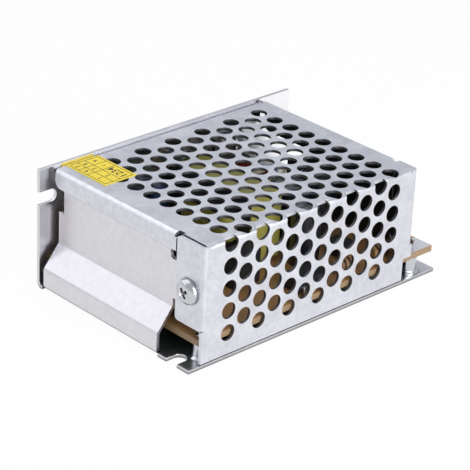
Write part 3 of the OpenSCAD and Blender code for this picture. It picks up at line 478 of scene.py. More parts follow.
# Polyester film, drawn thin: milky, and glossy where it bulges.
film_material = clear_plastic("polyester_film", "#E6E6DE", 6, 0.2, 0.05, Roughness=0.2, Alpha=0.35)
# Epoxy cast in a polished cup: clear, green and shiny.
lens_material = clear_plastic(
    "green_tinted_epoxy", "#8FD79A", 0.5, 0.1, 0.02, Roughness=0.12, Transmission_Weight=0.7)
# Vinyl film under a thin gloss: flat bright yellow.
yellow_vinyl = moulded("yellow_vinyl_sticker", "#F6DE3C", "#EDD334", 0.4, 0.5, 0.1)
# Screen printed ink: matt and nearly black.
print_black = moulded("black_print_ink", "#26241C", "#1E1C16", 0.5, 0.3, 0.1)
print(len(bpy.data.materials), "materials in all")


# %% [markdown]
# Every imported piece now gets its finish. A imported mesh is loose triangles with
# knife-sharp edges. Real sheared sheet and moulded plastic have edges rounded by
# about a tenth of a millimetre, and that line of light is what makes them look
# real. So each piece is copied, its triangles are joined, flat triangles become
# one face again, and a Bevel rounds what is left sharp. The copy stands in for
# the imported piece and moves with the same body.

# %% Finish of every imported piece
FINISH = {
    "chassis": galvanised, "cover": perforated, "label": yellow_vinyl,
    "insulating_sheet": film_material, "circuit_board": board_material,
    "standoffs": zinc_stud, "terminal_housing": black_plastic,
    "terminal_contacts": tinned_brass, "transformer_core": ferrite, "core_tape": yellow_tape,
    "transformer_bobbin": dark_bobbin, "transformer_winding": yellow_tape,
    "bulk_capacitor_can": drawn_aluminium, "bulk_capacitor_sleeve": dark_sleeve,
    "output_capacitor_cans": drawn_aluminium, "output_capacitor_sleeves": dark_sleeve,
    "x_capacitor": dark_box, "y_capacitor": blue_lacquer, "line_choke_core": ferrite,
    "line_choke_bobbin": black_plastic, "fuse": fuse_brown, "thermistor": green_lacquer,
    "bridge_rectifier": black_epoxy, "switching_transistor": black_epoxy,
    "output_rectifier": black_epoxy, "transistor_pads": grey_pad, "inductor_core": cream_core,
    "control_chip": black_epoxy, "optocoupler": black_epoxy, "resistors": tan_resistor,
    "indicator_lamp": lens_material, "trimmer_body": blue_moulding, "trimmer_rotor": white_rotor,
}
WAYS = 5
for way in range(1, WAYS + 1):
    FINISH[f"terminal_clamp_{way}"] = zinc_stud

EDGE_MM = {"chassis": 0.1, "cover": 0.06, "label": 0.02, "insulating_sheet": 0.03}
USUAL_EDGE_MM = 0.08
FLAT = math.radians(0.6)
SHARP = math.radians(38)
SAME_POINT_MM = 0.0005


def joined_copy(name):
    """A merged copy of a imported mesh, with its flat triangles made one face."""
    form = bmesh.new()
    form.from_mesh(nodes[name].data)
    bmesh.ops.remove_doubles(form, verts=form.verts, dist=SAME_POINT_MM * MM)
    bmesh.ops.dissolve_limit(form, angle_limit=FLAT, verts=form.verts, edges=form.edges)
    return form


def put(name, mesh, material, body, hides=()):
    """Adds a finished piece to the scene and says what it is."""
    piece = bpy.data.objects.new(name, mesh)
    bpy.context.scene.collection.objects.link(piece)
    mesh.materials.clear()
    mesh.materials.append(material)
    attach(piece, body)
    if hides:
        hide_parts(*hides)
    return piece


def round_edges(piece, width):
    """A small round on every sharp edge, and even shading on the flats."""
    bevel = piece.modifiers.new("rounded edges", "BEVEL")
    bevel.width = width
    bevel.segments = 2
    bevel.limit_method = "ANGLE"
    bevel.angle_limit = SHARP
    shading = piece.modifiers.new("even shading", "WEIGHTED_NORMAL")
    shading.keep_sharp = True
    for face in piece.data.polygons:
        face.use_smooth = True


finished = {}
for name in FINISH:
    form = joined_copy(name)
    mesh = bpy.data.meshes.new(f"{name}_finished")
    form.to_mesh(mesh)
    form.free()
    piece = put(f"{name}_finished", mesh, FINISH[name], home[name], (name,))
    round_edges(piece, EDGE_MM.get(name, USUAL_EDGE_MM) * MM)
    finished[name] = piece
print("dressed", len(FINISH), "packed pieces")

# %% [markdown]
# Leads, tabs and legs are tinned copper, while the bodies round them are lacquer
# or epoxy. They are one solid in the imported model, so the faces of the metal get
# a second material. A short rule for each piece says which faces those are: below
# a height, outside a body's width, or close to a lead's own axis.

# %% Bare metal on the small parts
def centre_of(name):
    """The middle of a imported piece, with its low and high corners."""
    low, high = (Vector(corner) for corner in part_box(name))
    return (low + high) / 2, low, high


def bare_metal(name, is_metal):
    """Gives the faces for which is_metal(centre of face) is true the tin finish."""
    mesh = finished[name].data
    mesh.materials.append(tin)
    for face in mesh.polygons:
        face.material_index = 1 if is_metal(face.center) else 0
    print(name, "has", sum(face.material_index for face in mesh.polygons), "tinned faces")


HAIR = 0.01 * MM
board_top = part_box("circuit_board")[1][2]
BODY_RISE_MM = {"y_capacitor": 5.7, "thermistor": 2.2, "bridge_rectifier": 2.5}
for name, rise in BODY_RISE_MM.items():
    bare_metal(name, lambda point, top=board_top + rise * MM: point.z < top - HAIR)

PACKAGE_HALF = 3.25 * MM
for name in ("control_chip", "optocoupler"):
    middle = centre_of(name)[0]
    bare_metal(name, lambda point, y=middle.y: abs(point.y - y) > PACKAGE_HALF)

PACKAGE_TALL = 15.4 * MM
BODY_TALL = 9.02 * MM
for name in ("switching_transistor", "output_rectifier"):
    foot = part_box(name)[1][2] - PACKAGE_TALL
    bare_metal(name, lambda point, a=foot: point.z > a + BODY_TALL or point.z < a - HAIR)

LEAD_ROUND = 0.5 * MM
BODY_RADIUS = 1.7 * MM
BODY_CLEAR = 0.9 * MM
resistor_axis = centre_of("resistors")[0].y
bare_metal("resistors", lambda point: point.z < board_top + BODY_CLEAR or math.hypot(
    point.y - resistor_axis, point.z - board_top - BODY_RADIUS) < LEAD_ROUND)

# %% [markdown]
# The cover has three skins: the rolled outside, an inside painted dark as painted
# shade, and the walls of its punched holes, where the shear left bare steel. The
# painted shade inside is what makes the holes look deep. A rule on each face's place
# and direction finds the skin, so it holds for any grid of holes.

# %% Skins of the cover
cover_low, cover_high = (Vector(corner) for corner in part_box("cover"))
SKIN = 0.75 * MM
BEND_ROOM = 1.3 * MM
UPRIGHT = 0.02


def cover_skin(face):
    """0 for the outside, 1 for the inside, 2 for the wall of a hole."""
    point, way = face.center, face.normal
    if all(cover_low[i] + SKIN < point[i] for i in (0, 1)) and all(
            point[i] < cover_high[i] - SKIN for i in range(3)):
        return 1
    clear_of_ends = cover_low.x + BEND_ROOM < point.x < cover_high.x - BEND_ROOM
    on_top = point.z > cover_high.z - SKIN and point.y > cover_low.y + BEND_ROOM
    on_side = point.y < cover_low.y + SKIN and point.z < cover_high.z - BEND_ROOM
    if clear_of_ends and (on_top and abs(way.z) < UPRIGHT or on_side and abs(way.y) < UPRIGHT):
        return 2
    return 0


cover_mesh = finished["cover"].data
# The inside skin is painted shade: dark zinc.
for finish in (inner_zinc_painted_shade, sheared_steel):
    cover_mesh.materials.append(finish)
for face in cover_mesh.polygons:
    face.material_index = cover_skin(face)
print("cover skins:", [sum(face.material_index == skin for face in cover_mesh.polygons)
                       for skin in range(3)])

# %% [markdown]
# The solid wall's inner side is painted almost white: painted light, for the lit face
# seen through the holes. Past the closed end of the cover it is painted darker:
# painted shade. Both are one flat face, so the change lies in the material: its
# tone follows X.

# %% Painted light and shade on the solid wall
FACES_IN = -0.9
zinc_tree = wall_zinc_painted_light.node_tree
zinc_colour = zinc_tree.nodes["Principled BSDF"].inputs["Base Color"]
lit_wall_tone = zinc_colour.links[0].from_socket
zinc_place = add_node(zinc_tree, "ShaderNodeTexCoord").outputs["Object"]
zinc_xyz = add_node(zinc_tree, "ShaderNodeSeparateXYZ", {"Vector": zinc_place})
# Painted shade: past the closed end the wall's tone falls to this share.
WALL_PAINTED_SHADE_TONE = 0.7
wall_shade_ramp = add_node(zinc_tree, "ShaderNodeMapRange", {
    "Value": zinc_xyz.outputs["X"], "From Min": cover_low.x - BEND_ROOM,
    "From Max": cover_low.x, "To Min": WALL_PAINTED_SHADE_TONE, "To Max": 1.0})
shaded_wall_tone = add_node(zinc_tree, "ShaderNodeVectorMath", {
    0: lit_wall_tone, "Scale": wall_shade_ramp.outputs[0]}, operation="SCALE")
zinc_tree.links.new(shaded_wall_tone.outputs[0], zinc_colour)
chassis_mesh = finished["chassis"].data
chassis_mesh.materials.append(wall_zinc_painted_light)
painted_light = len(chassis_mesh.materials) - 1
wall_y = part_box("chassis")[1][1] - 2 * SKIN
for face in chassis_mesh.polygons:
    if face.center.y > wall_y and face.normal.y < FACES_IN and face.center.x > cover_low.x:
        face.material_index = painted_light
print("fresh zinc on", sum(face.material_index == painted_light for face in chassis_mesh.polygons), "faces")

# %% [markdown]
# Many small things repeat: screw heads, turns of wire, bands, print lines. Each
# kind is one Geometry Nodes tree with named inputs for its sizes. The tree grows
# the form on every point of a small cloud, and the result is kept as a plain mesh.
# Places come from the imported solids: each separate solid of a node is an island.

# %% Geometry trees and islands
SIZE, COUNT, TURN, FINISH_INPUT = (
    "NodeSocketFloat", "NodeSocketInt", "NodeSocketRotation", "NodeSocketMaterial")


def new_tree(name, **inputs):
    """An empty geometry tree with a named input for each size, and its inputs."""
    tree = bpy.data.node_groups.new(name, "GeometryNodeTree")
    tree.interface.new_socket("Points", in_out="INPUT", socket_type="NodeSocketGeometry")
    for label, kind in inputs.items():
        tree.interface.new_socket(label, in_out="INPUT", socket_type=kind)
    tree.interface.new_socket("Geometry", in_out="OUTPUT", socket_type="NodeSocketGeometry")
    return tree, add_node(tree, "NodeGroupInput").outputs


def close_tree(tree, ends, shape, turn=None):
    """Puts the shape on every point, makes it real and gives it its material."""
    spots = {"Points": ends["Points"], "Instance": shape}
    if turn:
        spots["Rotation"] = turn
    placed = add_node(tree, "GeometryNodeInstanceOnPoints", spots)
    real = add_node(tree, "GeometryNodeRealizeInstances", {"Geometry": placed.outputs[0]})
    painted = add_node(tree, "GeometryNodeSetMaterial", {
        "Geometry": real.outputs[0], "Material": ends["Finish"]})
    add_node(tree, "NodeGroupOutput", {"Geometry": painted.outputs[0]})


def grow(name, tree, points, **sizes):
    """Runs a tree on a cloud of points and returns what it makes as a plain mesh."""
    cloud = bpy.data.meshes.new(name)
    cloud.from_pydata([tuple(point) for point in points], [], [])
    holder = bpy.data.objects.new(name, cloud)
    bpy.context.scene.collection.objects.link(holder)
    modifier = holder.modifiers.new("grow", "NODES")
    modifier.node_group = tree
    for socket in tree.interface.items_tree:
        if socket.in_out == "INPUT" and socket.name in sizes:
            modifier[socket.identifier] = sizes[socket.name]
    graph = bpy.context.evaluated_depsgraph_get()
    mesh = bpy.data.meshes.new_from_object(holder.evaluated_get(graph), depsgraph=graph)
    holder.modifiers.remove(modifier)
    bpy.data.objects.remove(holder)
    print(name, "grew", len(mesh.polygons), "faces on", len(points), "points")
    return mesh


def islands(name):
    """Low and high corner of each separate solid of a node, in order along X and Y."""
    form = joined_copy(name)
    left = set(form.verts)
    boxes = []
    while left:
        reach = [left.pop()]
        held = list(reach)
        while reach:
            for edge in reach.pop().link_edges:
                for vertex in edge.verts:
                    if vertex in left:
                        left.remove(vertex)
                        reach.append(vertex)
                        held.append(vertex)
        boxes.append((Vector(min(v.co[i] for v in held) for i in range(3)),
                      Vector(max(v.co[i] for v in held) for i in range(3))))
    form.free()
    return sorted(boxes, key=lambda box: (round(box[0].x, 5), round(box[0].y, 5)))


print("board screws are", len(islands("board_screws")), "solids")


# %% [markdown]
# A pan head screw. The head is cold formed: a shallow dome with a soft shoulder
# and a short straight rim. It could be turned from a profile. Here a ball is
# pressed flat below its middle and lifted above it by a power curve, because then
# its diameter and height stay plain inputs.

# %% Screw head
pan_screw, ends = new_tree(
    "pan_screw", Head=SIZE, Height=SIZE, Thread=SIZE, Length=SIZE, Spin=SIZE,
    Turn=TURN, Finish=FINISH_INPUT)
RIM_MM = 0.55
CROWN_POWER = 0.95
SEAT_LEVEL = -0.01

head_radius, thread_radius = (
    add_node(pan_screw, "ShaderNodeMath", {0: ends[size], 1: 0.5}, operation="MULTIPLY")
    for size in ("Head", "Thread"))
ball = add_node(pan_screw, "GeometryNodeMeshUVSphere", {
    "Segments": 48, "Rings": 32, "Radius": head_radius.outputs[0]})
spot = add_node(pan_screw, "ShaderNodeSeparateXYZ", {
    "Vector": add_node(pan_screw, "GeometryNodeInputPosition").outputs[0]})
level = add_node(pan_screw, "ShaderNodeMath", {
    0: spot.outputs["Z"], 1: head_radius.outputs[0]}, operation="DIVIDE")
above = add_node(pan_screw, "ShaderNodeMath", {0: level.outputs[0], 1: 0.0}, operation="MAXIMUM")
swell = add_node(pan_screw, "ShaderNodeMath", {
    0: above.outputs[0], 1: CROWN_POWER}, operation="POWER")
dome_height = add_node(pan_screw, "ShaderNodeMath", {
    0: ends["Height"], 1: RIM_MM * MM}, operation="SUBTRACT")
dome = add_node(pan_screw, "ShaderNodeMath", {
    0: swell.outputs[0], 1: dome_height.outputs[0]}, operation="MULTIPLY")
over_seat = add_node(pan_screw, "ShaderNodeMath", {
    0: dome.outputs[0], 1: RIM_MM * MM}, operation="ADD")
upper = add_node(pan_screw, "ShaderNodeMath", {
    0: level.outputs[0], 1: SEAT_LEVEL}, operation="GREATER_THAN")
pressed = add_node(pan_screw, "ShaderNodeMath", {
    0: over_seat.outputs[0], 1: upper.outputs[0]}, operation="MULTIPLY")
head = add_node(pan_screw, "GeometryNodeSetPosition", {
    "Geometry": ball.outputs["Mesh"],
    "Position": add_node(pan_screw, "ShaderNodeCombineXYZ", {
        "X": spot.outputs["X"], "Y": spot.outputs["Y"], "Z": pressed.outputs[0]}).outputs[0]})
print("head made by", len(pan_screw.nodes), "nodes")

# %% [markdown]
# The cross recess is struck by a punch with four tapered wings, so it narrows as it
# goes down. Two bars, squeezed at their lower end, are cut out of the dome with a
# boolean. That gives true inner walls, which hold the dark of a real recess.

# %% Cross recess
RECESS_MM = 1.0
WING_LENGTH, WING_WIDTH = 0.56, 0.16
WING_TAPER = 0.62


def squeezed(shape, share):
    """The shape with every distance from the Z axis multiplied by the share."""
    aside = [add_node(pan_screw, "ShaderNodeMath", {
        0: spot.outputs[axis], 1: share.outputs[0]}, operation="MULTIPLY").outputs[0]
        for axis in ("X", "Y")]
    moved = add_node(pan_screw, "ShaderNodeCombineXYZ", {
        "X": aside[0], "Y": aside[1], "Z": spot.outputs["Z"]})
    return add_node(pan_screw, "GeometryNodeSetPosition", {
        "Geometry": shape, "Position": moved.outputs[0]})


wing_length, wing_width = (
    add_node(pan_screw, "ShaderNodeMath", {0: ends["Head"], 1: share}, operation="MULTIPLY")
    for share in (WING_LENGTH, WING_WIDTH))
wing = add_node(pan_screw, "GeometryNodeMeshCube", {
    "Size": add_node(pan_screw, "ShaderNodeCombineXYZ", {
        "X": wing_length.outputs[0], "Y": wing_width.outputs[0],
        "Z": 2 * RECESS_MM * MM}).outputs[0]})
deep = add_node(pan_screw, "ShaderNodeMath", {0: spot.outputs["Z"], 1: 0.0}, operation="LESS_THAN")
narrow = add_node(pan_screw, "ShaderNodeMapRange", {
    "Value": deep.outputs[0], "To Min": 1.0, "To Max": WING_TAPER})
tapered = squeezed(wing.outputs["Mesh"], narrow)
at_top = add_node(pan_screw, "ShaderNodeCombineXYZ", {"Z": ends["Height"]}).outputs[0]
recessed = add_node(pan_screw, "GeometryNodeMeshBoolean", {
    "Mesh 1": head.outputs[0]}, operation="DIFFERENCE")
for quarter in (0, math.pi / 2):
    arm = add_node(pan_screw, "GeometryNodeTransform", {
        "Geometry": tapered.outputs[0], "Translation": at_top, "Rotation": (0, 0, quarter)})
    pan_screw.links.new(arm.outputs[0], recessed.inputs["Mesh 2"])
print("head and recess made by", len(pan_screw.nodes), "nodes")

# %% [markdown]
# The thread is rolled: dies press a groove that climbs one pitch a turn. It could be
# swept along a helix, but the ends of a sweep are hard to close. Here a fine
# cylinder is squeezed by a saw curve of angle and height, so it stays one closed
# shape. The number of its rings sets how crisp the groove is.

# %% Rolled thread
PITCH_MM = 0.5
ROOT_SHARE = 0.82
SINK_MM = 0.2
rod = add_node(pan_screw, "GeometryNodeMeshCylinder", {
    "Vertices": 20, "Side Segments": 44, "Radius": thread_radius.outputs[0],
    "Depth": ends["Length"]})
angle = add_node(pan_screw, "ShaderNodeMath", {
    0: spot.outputs["Y"], 1: spot.outputs["X"]}, operation="ARCTAN2")
climb = add_node(pan_screw, "ShaderNodeMath", {
    0: spot.outputs["Z"], 1: PITCH_MM * MM}, operation="DIVIDE")
phase = add_node(pan_screw, "ShaderNodeMath", {
    0: angle.outputs[0], 1: -1 / math.tau, 2: climb.outputs[0]}, operation="MULTIPLY_ADD")
tooth = add_node(pan_screw, "ShaderNodeMath", {
    0: phase.outputs[0], 1: 0.5}, operation="PINGPONG")
squeeze = add_node(pan_screw, "ShaderNodeMapRange", {
    "Value": tooth.outputs[0], "From Max": 0.5, "To Min": ROOT_SHARE, "To Max": 1.0})
threaded = squeezed(rod.outputs["Mesh"], squeeze)
half_down = add_node(pan_screw, "ShaderNodeMath", {0: ends["Length"], 1: -0.5}, operation="MULTIPLY")
shank = add_node(pan_screw, "GeometryNodeTransform", {
    "Geometry": threaded.outputs[0],
    "Translation": add_node(pan_screw, "ShaderNodeCombineXYZ", {
        "Z": add_node(pan_screw, "ShaderNodeMath", {
            0: half_down.outputs[0], 1: SINK_MM * MM}, operation="ADD").outputs[0]}).outputs[0]})
whole = add_node(pan_screw, "GeometryNodeJoinGeometry")
for part in (shank, recessed):
    pan_screw.links.new(part.outputs[0], whole.inputs[0])
spun = add_node(pan_screw, "GeometryNodeTransform", {
    "Geometry": whole.outputs[0],
    "Rotation": add_node(pan_screw, "ShaderNodeCombineXYZ", {"Z": ends["Spin"]}).outputs[0]})
close_tree(pan_screw, ends, spun.outputs[0], ends["Turn"])
print("screw tree has", len(pan_screw.nodes), "nodes")

# %% [markdown]
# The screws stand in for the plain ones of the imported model, with the same heads
# and lengths. The cover screw faces the closed end, the two that hold the power
# packages face the mesh side, and the rest face up. Each terminal screw rides on
# its own body, so that it turns as it lifts. The recesses stand at odd angles,
# because nobody lines screws up.

# %% Screws
TERMINAL_HEAD_MM = 1.9
TERMINAL_SPIN = 15
THREAD_MM = 2.9


def soften(mesh, degrees=40):
    """Smooth shading with a crease wherever two faces meet at more than the angle."""
    for face in mesh.polygons:
        face.use_smooth = True
    mesh.set_sharp_from_angle(angle=math.radians(degrees))


def add_screws(node, axis, spin, height_mm, body="root"):
    """Grows the screws of a node on their seats. The heads face along the axis."""
    axis = Vector(axis)
    spots = []
    for low, high in islands(node):
        reach = (high - low) / 2
        along = max(range(3), key=lambda i: abs(axis[i]))
        spots.append((low + high) / 2 + axis * (reach[along] - height_mm * MM))
    mesh = grow(
        node, pan_screw, spots, Head=2 * reach[(along + 1) % 3], Height=height_mm * MM,
        Thread=THREAD_MM * MM, Length=2 * reach[along] - (height_mm + SINK_MM) * MM,
        Spin=math.radians(spin), Turn=axis.to_track_quat("Z", "Y").to_euler(), Finish=nickel)
    soften(mesh)
    put(f"{node}_formed", mesh, nickel, body, (node,))


add_screws("cover_screw", axis=(-1, 0, 0), spin=33, height_mm=2.0)
add_screws("board_screws", axis=(0, 0, 1), spin=20, height_mm=2.0)
add_screws("transistor_screws", axis=(0, -1, 0), spin=12, height_mm=1.6)
for way in range(1, WAYS + 1):
    add_screws(f"terminal_screw_{way}", (0, 0, 1), TERMINAL_SPIN * way, TERMINAL_HEAD_MM,
               f"screw_{way}")

# %% [markdown]
# The line choke's two coils are varnished copper wire wound in one layer on square
# bobbins. One long helix would be true, but at this size a stack of closed turns
# looks the same and has no ends. A turn is a square with round corners swept with
# a round section, and the turns lie on each other, one wire apart.

# %% Choke coils
ROUND_SIDES, BEND_STEPS = 10, 4
CORNER_SHARE = 0.16
WIRE_CREASE = 60
choke_coil, ends = new_tree(
    "choke_coil", Side=SIZE, Wire=SIZE, Turns=COUNT, Finish=FINISH_INPUT)
wire_radius = add_node(choke_coil, "ShaderNodeMath", {
    0: ends["Wire"], 1: 0.5}, operation="MULTIPLY")
path_side = add_node(choke_coil, "ShaderNodeMath", {
    0: ends["Side"], 1: ends["Wire"]}, operation="SUBTRACT")
corner = add_node(choke_coil, "ShaderNodeMath", {
    0: ends["Side"], 1: CORNER_SHARE}, operation="MULTIPLY")
square = add_node(choke_coil, "GeometryNodeCurvePrimitiveQuadrilateral", {
    "Width": path_side.outputs[0], "Height": path_side.outputs[0]})
path = add_node(choke_coil, "GeometryNodeFilletCurve", {
    "Curve": square.outputs[0], "Count": BEND_STEPS, "Radius": corner.outputs[0]}, mode="POLY")
section = add_node(choke_coil, "GeometryNodeCurvePrimitiveCircle", {
    "Resolution": ROUND_SIDES, "Radius": wire_radius.outputs[0]})
one_turn = add_node(choke_coil, "GeometryNodeCurveToMesh", {
    "Curve": path.outputs[0], "Profile Curve": section.outputs[0]})
first_turn = add_node(choke_coil, "ShaderNodeCombineXYZ", {"Z": wire_radius.outputs[0]})
next_turn = add_node(choke_coil, "ShaderNodeCombineXYZ", {"Z": ends["Wire"]})
ladder = add_node(choke_coil, "GeometryNodeMeshLine", {
    "Count": ends["Turns"], "Start Location": first_turn.outputs[0],
    "Offset": next_turn.outputs[0]})
stacked = add_node(choke_coil, "GeometryNodeInstanceOnPoints", {
    "Points": ladder.outputs[0], "Instance": one_turn.outputs[0]})
close_tree(choke_coil, ends, add_node(choke_coil, "GeometryNodeRealizeInstances", {
    "Geometry": stacked.outputs[0]}).outputs[0])

CHOKE_TURNS = 10
coils = islands("line_choke_windings")
coil_low, coil_high = coils[0]
choke_mesh = grow(
    "line_choke_windings", choke_coil,
    [((low.x + high.x) / 2, (low.y + high.y) / 2, low.z) for low, high in coils],
    Side=coil_high.x - coil_low.x, Wire=(coil_high.z - coil_low.z) / CHOKE_TURNS,
    Turns=CHOKE_TURNS, Finish=bare_copper)
soften(choke_mesh, WIRE_CREASE)
put("line_choke_turns", choke_mesh, bare_copper, "root",
    ("line_choke_windings",))

# %% [markdown]
# The output inductor is a coated powder ring with turns of thick red wire. Each
# turn is a rounded loop round the ring's section, and the loops are set out evenly
# round its axis, as a winding machine leaves them. The tree puts one loop on each
# of a set of points and turns it by its number.

# %% Inductor turns
ring_coil, ends = new_tree(
    "ring_coil", Bore=SIZE, Outer=SIZE, Width=SIZE, Wire=SIZE, Turns=COUNT, Finish=FINISH_INPUT)
wire_radius = add_node(ring_coil, "ShaderNodeMath", {
    0: ends["Wire"], 1: 0.5}, operation="MULTIPLY")
reach = add_node(ring_coil, "ShaderNodeMath", {
    0: ends["Outer"], 1: ends["Bore"]}, operation="SUBTRACT")
loop_high, loop_wide = (
    add_node(ring_coil, "ShaderNodeMath", {0: span, 1: ends["Wire"]}, operation="ADD")
    for span in (reach.outputs[0], ends["Width"]))
loop = add_node(ring_coil, "GeometryNodeCurvePrimitiveQuadrilateral", {
    "Width": loop_high.outputs[0], "Height": loop_wide.outputs[0]})
eased = add_node(ring_coil, "GeometryNodeFilletCurve", {
    "Curve": loop.outputs[0], "Count": BEND_STEPS, "Radius": ends["Wire"]}, mode="POLY")
section = add_node(ring_coil, "GeometryNodeCurvePrimitiveCircle", {
    "Resolution": ROUND_SIDES, "Radius": wire_radius.outputs[0]})
one_turn = add_node(ring_coil, "GeometryNodeCurveToMesh", {
    "Curve": eased.outputs[0], "Profile Curve": section.outputs[0]})
middle = add_node(ring_coil, "ShaderNodeMath", {
    0: reach.outputs[0], 1: 0.5, 2: ends["Bore"]}, operation="MULTIPLY_ADD")
upright = add_node(ring_coil, "GeometryNodeTransform", {
    "Geometry": one_turn.outputs[0], "Rotation": (math.pi / 2, 0, 0),
    "Translation": add_node(ring_coil, "ShaderNodeCombineXYZ", {"X": middle.outputs[0]}).outputs[0]})
step = add_node(ring_coil, "ShaderNodeMath", {0: math.tau, 1: ends["Turns"]}, operation="DIVIDE")
half_on = add_node(ring_coil, "ShaderNodeMath", {
    0: add_node(ring_coil, "GeometryNodeInputIndex").outputs[0], 1: 0.5}, operation="ADD")
bearing = add_node(ring_coil, "ShaderNodeMath", {
    0: half_on.outputs[0], 1: step.outputs[0]}, operation="MULTIPLY")
around = add_node(ring_coil, "GeometryNodeInstanceOnPoints", {
    "Points": add_node(ring_coil, "GeometryNodePoints", {"Count": ends["Turns"]}).outputs[0],
    "Instance": upright.outputs[0],
    "Rotation": add_node(ring_coil, "ShaderNodeCombineXYZ", {"Z": bearing.outputs[0]}).outputs[0]})
all_round = add_node(ring_coil, "GeometryNodeRealizeInstances", {"Geometry": around.outputs[0]})
ring_up = add_node(ring_coil, "GeometryNodeTransform", {
    "Geometry": all_round.outputs[0], "Rotation": (0, math.pi / 2, 0)})
close_tree(ring_coil, ends, ring_up.outputs[0])

RING_TURNS = 16
RING_BORE_MM = 3.5
RING_WIRE_MM = 0.9
WIRE_GAP = 0.05 * MM
ring_centre, ring_low, ring_high = centre_of("inductor_core")
ring_mesh = grow(
    "inductor_winding", ring_coil, [ring_centre], Bore=RING_BORE_MM * MM - WIRE_GAP,
    Outer=(ring_high.y - ring_low.y) / 2 + WIRE_GAP, Width=ring_high.x - ring_low.x + 2 * WIRE_GAP,
    Wire=RING_WIRE_MM * MM, Turns=RING_TURNS, Finish=red_copper)
soften(ring_mesh, WIRE_CREASE)
put("inductor_turns", ring_mesh, red_copper, "root",
    ("inductor_winding",))

# %% [markdown]
# Flat bars serve three things: the table printed on the sticker, the tinned land at
# the board's corner and the safety score on top of each capacitor can, pressed as a
# cross so that a failing can opens there. The score is drawn as a dark bar: painted
# shade of the pressed groove. A bar is a thin box that grows on a point.

# %% Bars and capacitor scores
bars, ends = new_tree("bars", Length=SIZE, Width=SIZE, Thickness=SIZE, Finish=FINISH_INPUT)
close_tree(bars, ends, add_node(bars, "GeometryNodeMeshCube", {
    "Size": add_node(bars, "ShaderNodeCombineXYZ", {
        "X": ends["Length"], "Y": ends["Width"], "Z": ends["Thickness"]}).outputs[0]}).outputs["Mesh"])


def merged(name, meshes):
    """Several plain meshes as one."""
    form = bmesh.new()
    for mesh in meshes:
        form.from_mesh(mesh)
    mesh = bpy.data.meshes.new(name)
    form.to_mesh(mesh)
    form.free()
    return mesh


def bar_mesh(spot, length, width, thickness, finish):
    return grow("bar", bars, [spot], Length=length, Width=width, Thickness=thickness,
                Finish=finish)


SCORE_SHARE = 0.62
SCORE_WIDTH = 0.28 * MM
SCORE_THICK = 0.03 * MM
scores = []
for low, high in islands("output_capacitor_cans"):
    middle = (low + high) / 2
    top_spot = Vector((middle.x, middle.y, high.z + SCORE_THICK / 4))
    span = (high.x - low.x) * SCORE_SHARE
    for length, across in ((span, SCORE_WIDTH), (SCORE_WIDTH, span)):
        # Painted shade: each groove of the score is a dark bar.
        scores.append(bar_mesh(top_spot, length, across, SCORE_THICK, ferrite))
put("capacitor_scores", merged("capacitor_scores", scores), ferrite, "root")

# %% [markdown]
# The corner screw earths the board, so the copper round it is bare and tinned: a
# pale patch from the cover's edge to the corner. It is a film of solder, one bar
# that stops just short of the board's edges.

# %% Tinned land at the board's corner
LAND_THICK = 0.05 * MM
EDGE_GAP = 0.25 * MM
board_low, board_high = (Vector(corner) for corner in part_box("circuit_board"))
corner_screw = [box for box in islands("board_screws") if box[0].y < 0 < box[0].x][0]
land_low = Vector((cover_high.x + 0.2 * MM, board_low.y + EDGE_GAP, board_high.z))
land_high = Vector((board_high.x - EDGE_GAP, corner_screw[1].y + 1.2 * MM,
                    board_high.z + LAND_THICK))
land = bar_mesh((land_low + land_high) / 2, land_high.x - land_low.x, land_high.y - land_low.y,
                LAND_THICK, land_tin)
put("corner_land", land, land_tin, "root")

# %% [markdown]
# The sticker is printed with a plain table. Its frame and rules are bars of ink a
# hundredth of a millimetre thick, and its cells hold plain numbers, cut from the
# built-in typeface and made a mesh before they are turned into place. They read
# from the terminal end. The numbers mean nothing: one large, the rest in order.

# %% Print on the sticker
INK = 0.012 * MM
INK_SINK = 0.002 * MM
RULE = 0.2 * MM
MARGIN = 0.7 * MM
FAR_MARGIN = 1.6 * MM
COLUMNS = [0.0, 0.27, 0.54, 1.0]
ROWS = [0.0, 0.5, 0.75, 1.0]
LARGE_CELL = (2, 0)
LARGE_MM, SMALL_MM = 3.2, 1.7
BOLD = 0.04 * MM
label_low, label_high = (Vector(corner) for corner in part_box("label"))
print_z = label_high.z + INK / 2 - INK_SINK
long_y = label_high.y - FAR_MARGIN - label_low.y - MARGIN
wide_x = label_high.x - label_low.x - 2 * MARGIN


def on_label(share_x, share_y):
    """A place on the printed table, given as shares of its sides."""
    return (label_low.x + MARGIN + wide_x * share_x,
            label_low.y + MARGIN + long_y * share_y, print_z)


rules = [bar_mesh(on_label(share, 0.5), RULE, long_y, INK, print_black) for share in COLUMNS]
rules += [bar_mesh(on_label(0.5, share), wide_x, RULE, INK, print_black) for share in ROWS]


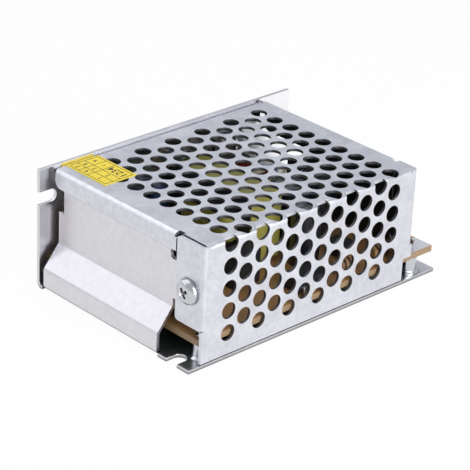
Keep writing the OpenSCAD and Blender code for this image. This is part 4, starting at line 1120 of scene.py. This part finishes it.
def number_mesh(text, size_mm, place):
    """Plain digits, lying on the sticker and read from the terminal end."""
    curve = bpy.data.curves.new(f"digits_{text}", "FONT")
    curve.body = text
    curve.size = size_mm * MM
    curve.extrude = INK / 2
    curve.offset = BOLD
    curve.align_x = "CENTER"
    curve.align_y = "CENTER"
    holder = bpy.data.objects.new(curve.name, curve)
    bpy.context.scene.collection.objects.link(holder)
    graph = bpy.context.evaluated_depsgraph_get()
    mesh = bpy.data.meshes.new_from_object(holder.evaluated_get(graph), depsgraph=graph)
    bpy.data.objects.remove(holder)
    mesh.transform(Matrix.Translation(place) @ Matrix.Rotation(math.pi / 2, 4, "Z"))
    return mesh


digits = []
for column, (left, right) in enumerate(zip(COLUMNS, COLUMNS[1:])):
    for row, (near, far) in enumerate(zip(ROWS, ROWS[1:])):
        large = (column, row) == LARGE_CELL
        text = "1234" if large else str(3 * row + column + 1)
        middle = on_label((left + right) / 2, (near + far) / 2)
        digits.append(number_mesh(text, LARGE_MM if large else SMALL_MM, middle))
put("sticker_print", merged("sticker_print", rules + digits), print_black, "root")

# %% [markdown]
# Resistors carry rings of paint that give their value. A ring is a short drum,
# a hair wider than the body that it goes round. Four plain brown rings stand on
# each body, so they give no value of any one resistor.

# %% Resistor rings
band, ends = new_tree("band", Radius=SIZE, Width=SIZE, Finish=FINISH_INPUT)
drum = add_node(band, "GeometryNodeMeshCylinder", {
    "Vertices": 40, "Radius": ends["Radius"], "Depth": ends["Width"]})
close_tree(band, ends, add_node(band, "GeometryNodeTransform", {
    "Geometry": drum.outputs["Mesh"], "Rotation": (0, math.pi / 2, 0)}).outputs[0])
BAND_PLACES = (-0.24, -0.104, 0.032, 0.216)
BAND_WIDTH = 0.7 * MM
PAINT = 0.015 * MM
band_spots = []
for low, high in islands("resistors"):
    for share in BAND_PLACES:
        band_spots.append(((low.x + high.x) / 2 + share * (high.x - low.x),
                           resistor_axis, board_top + BODY_RADIUS))
band_mesh = grow("resistors", band, band_spots, Radius=BODY_RADIUS + PAINT,
                 Width=BAND_WIDTH, Finish=fuse_brown)
soften(band_mesh)
put("resistor_bands", band_mesh, fuse_brown, "root")
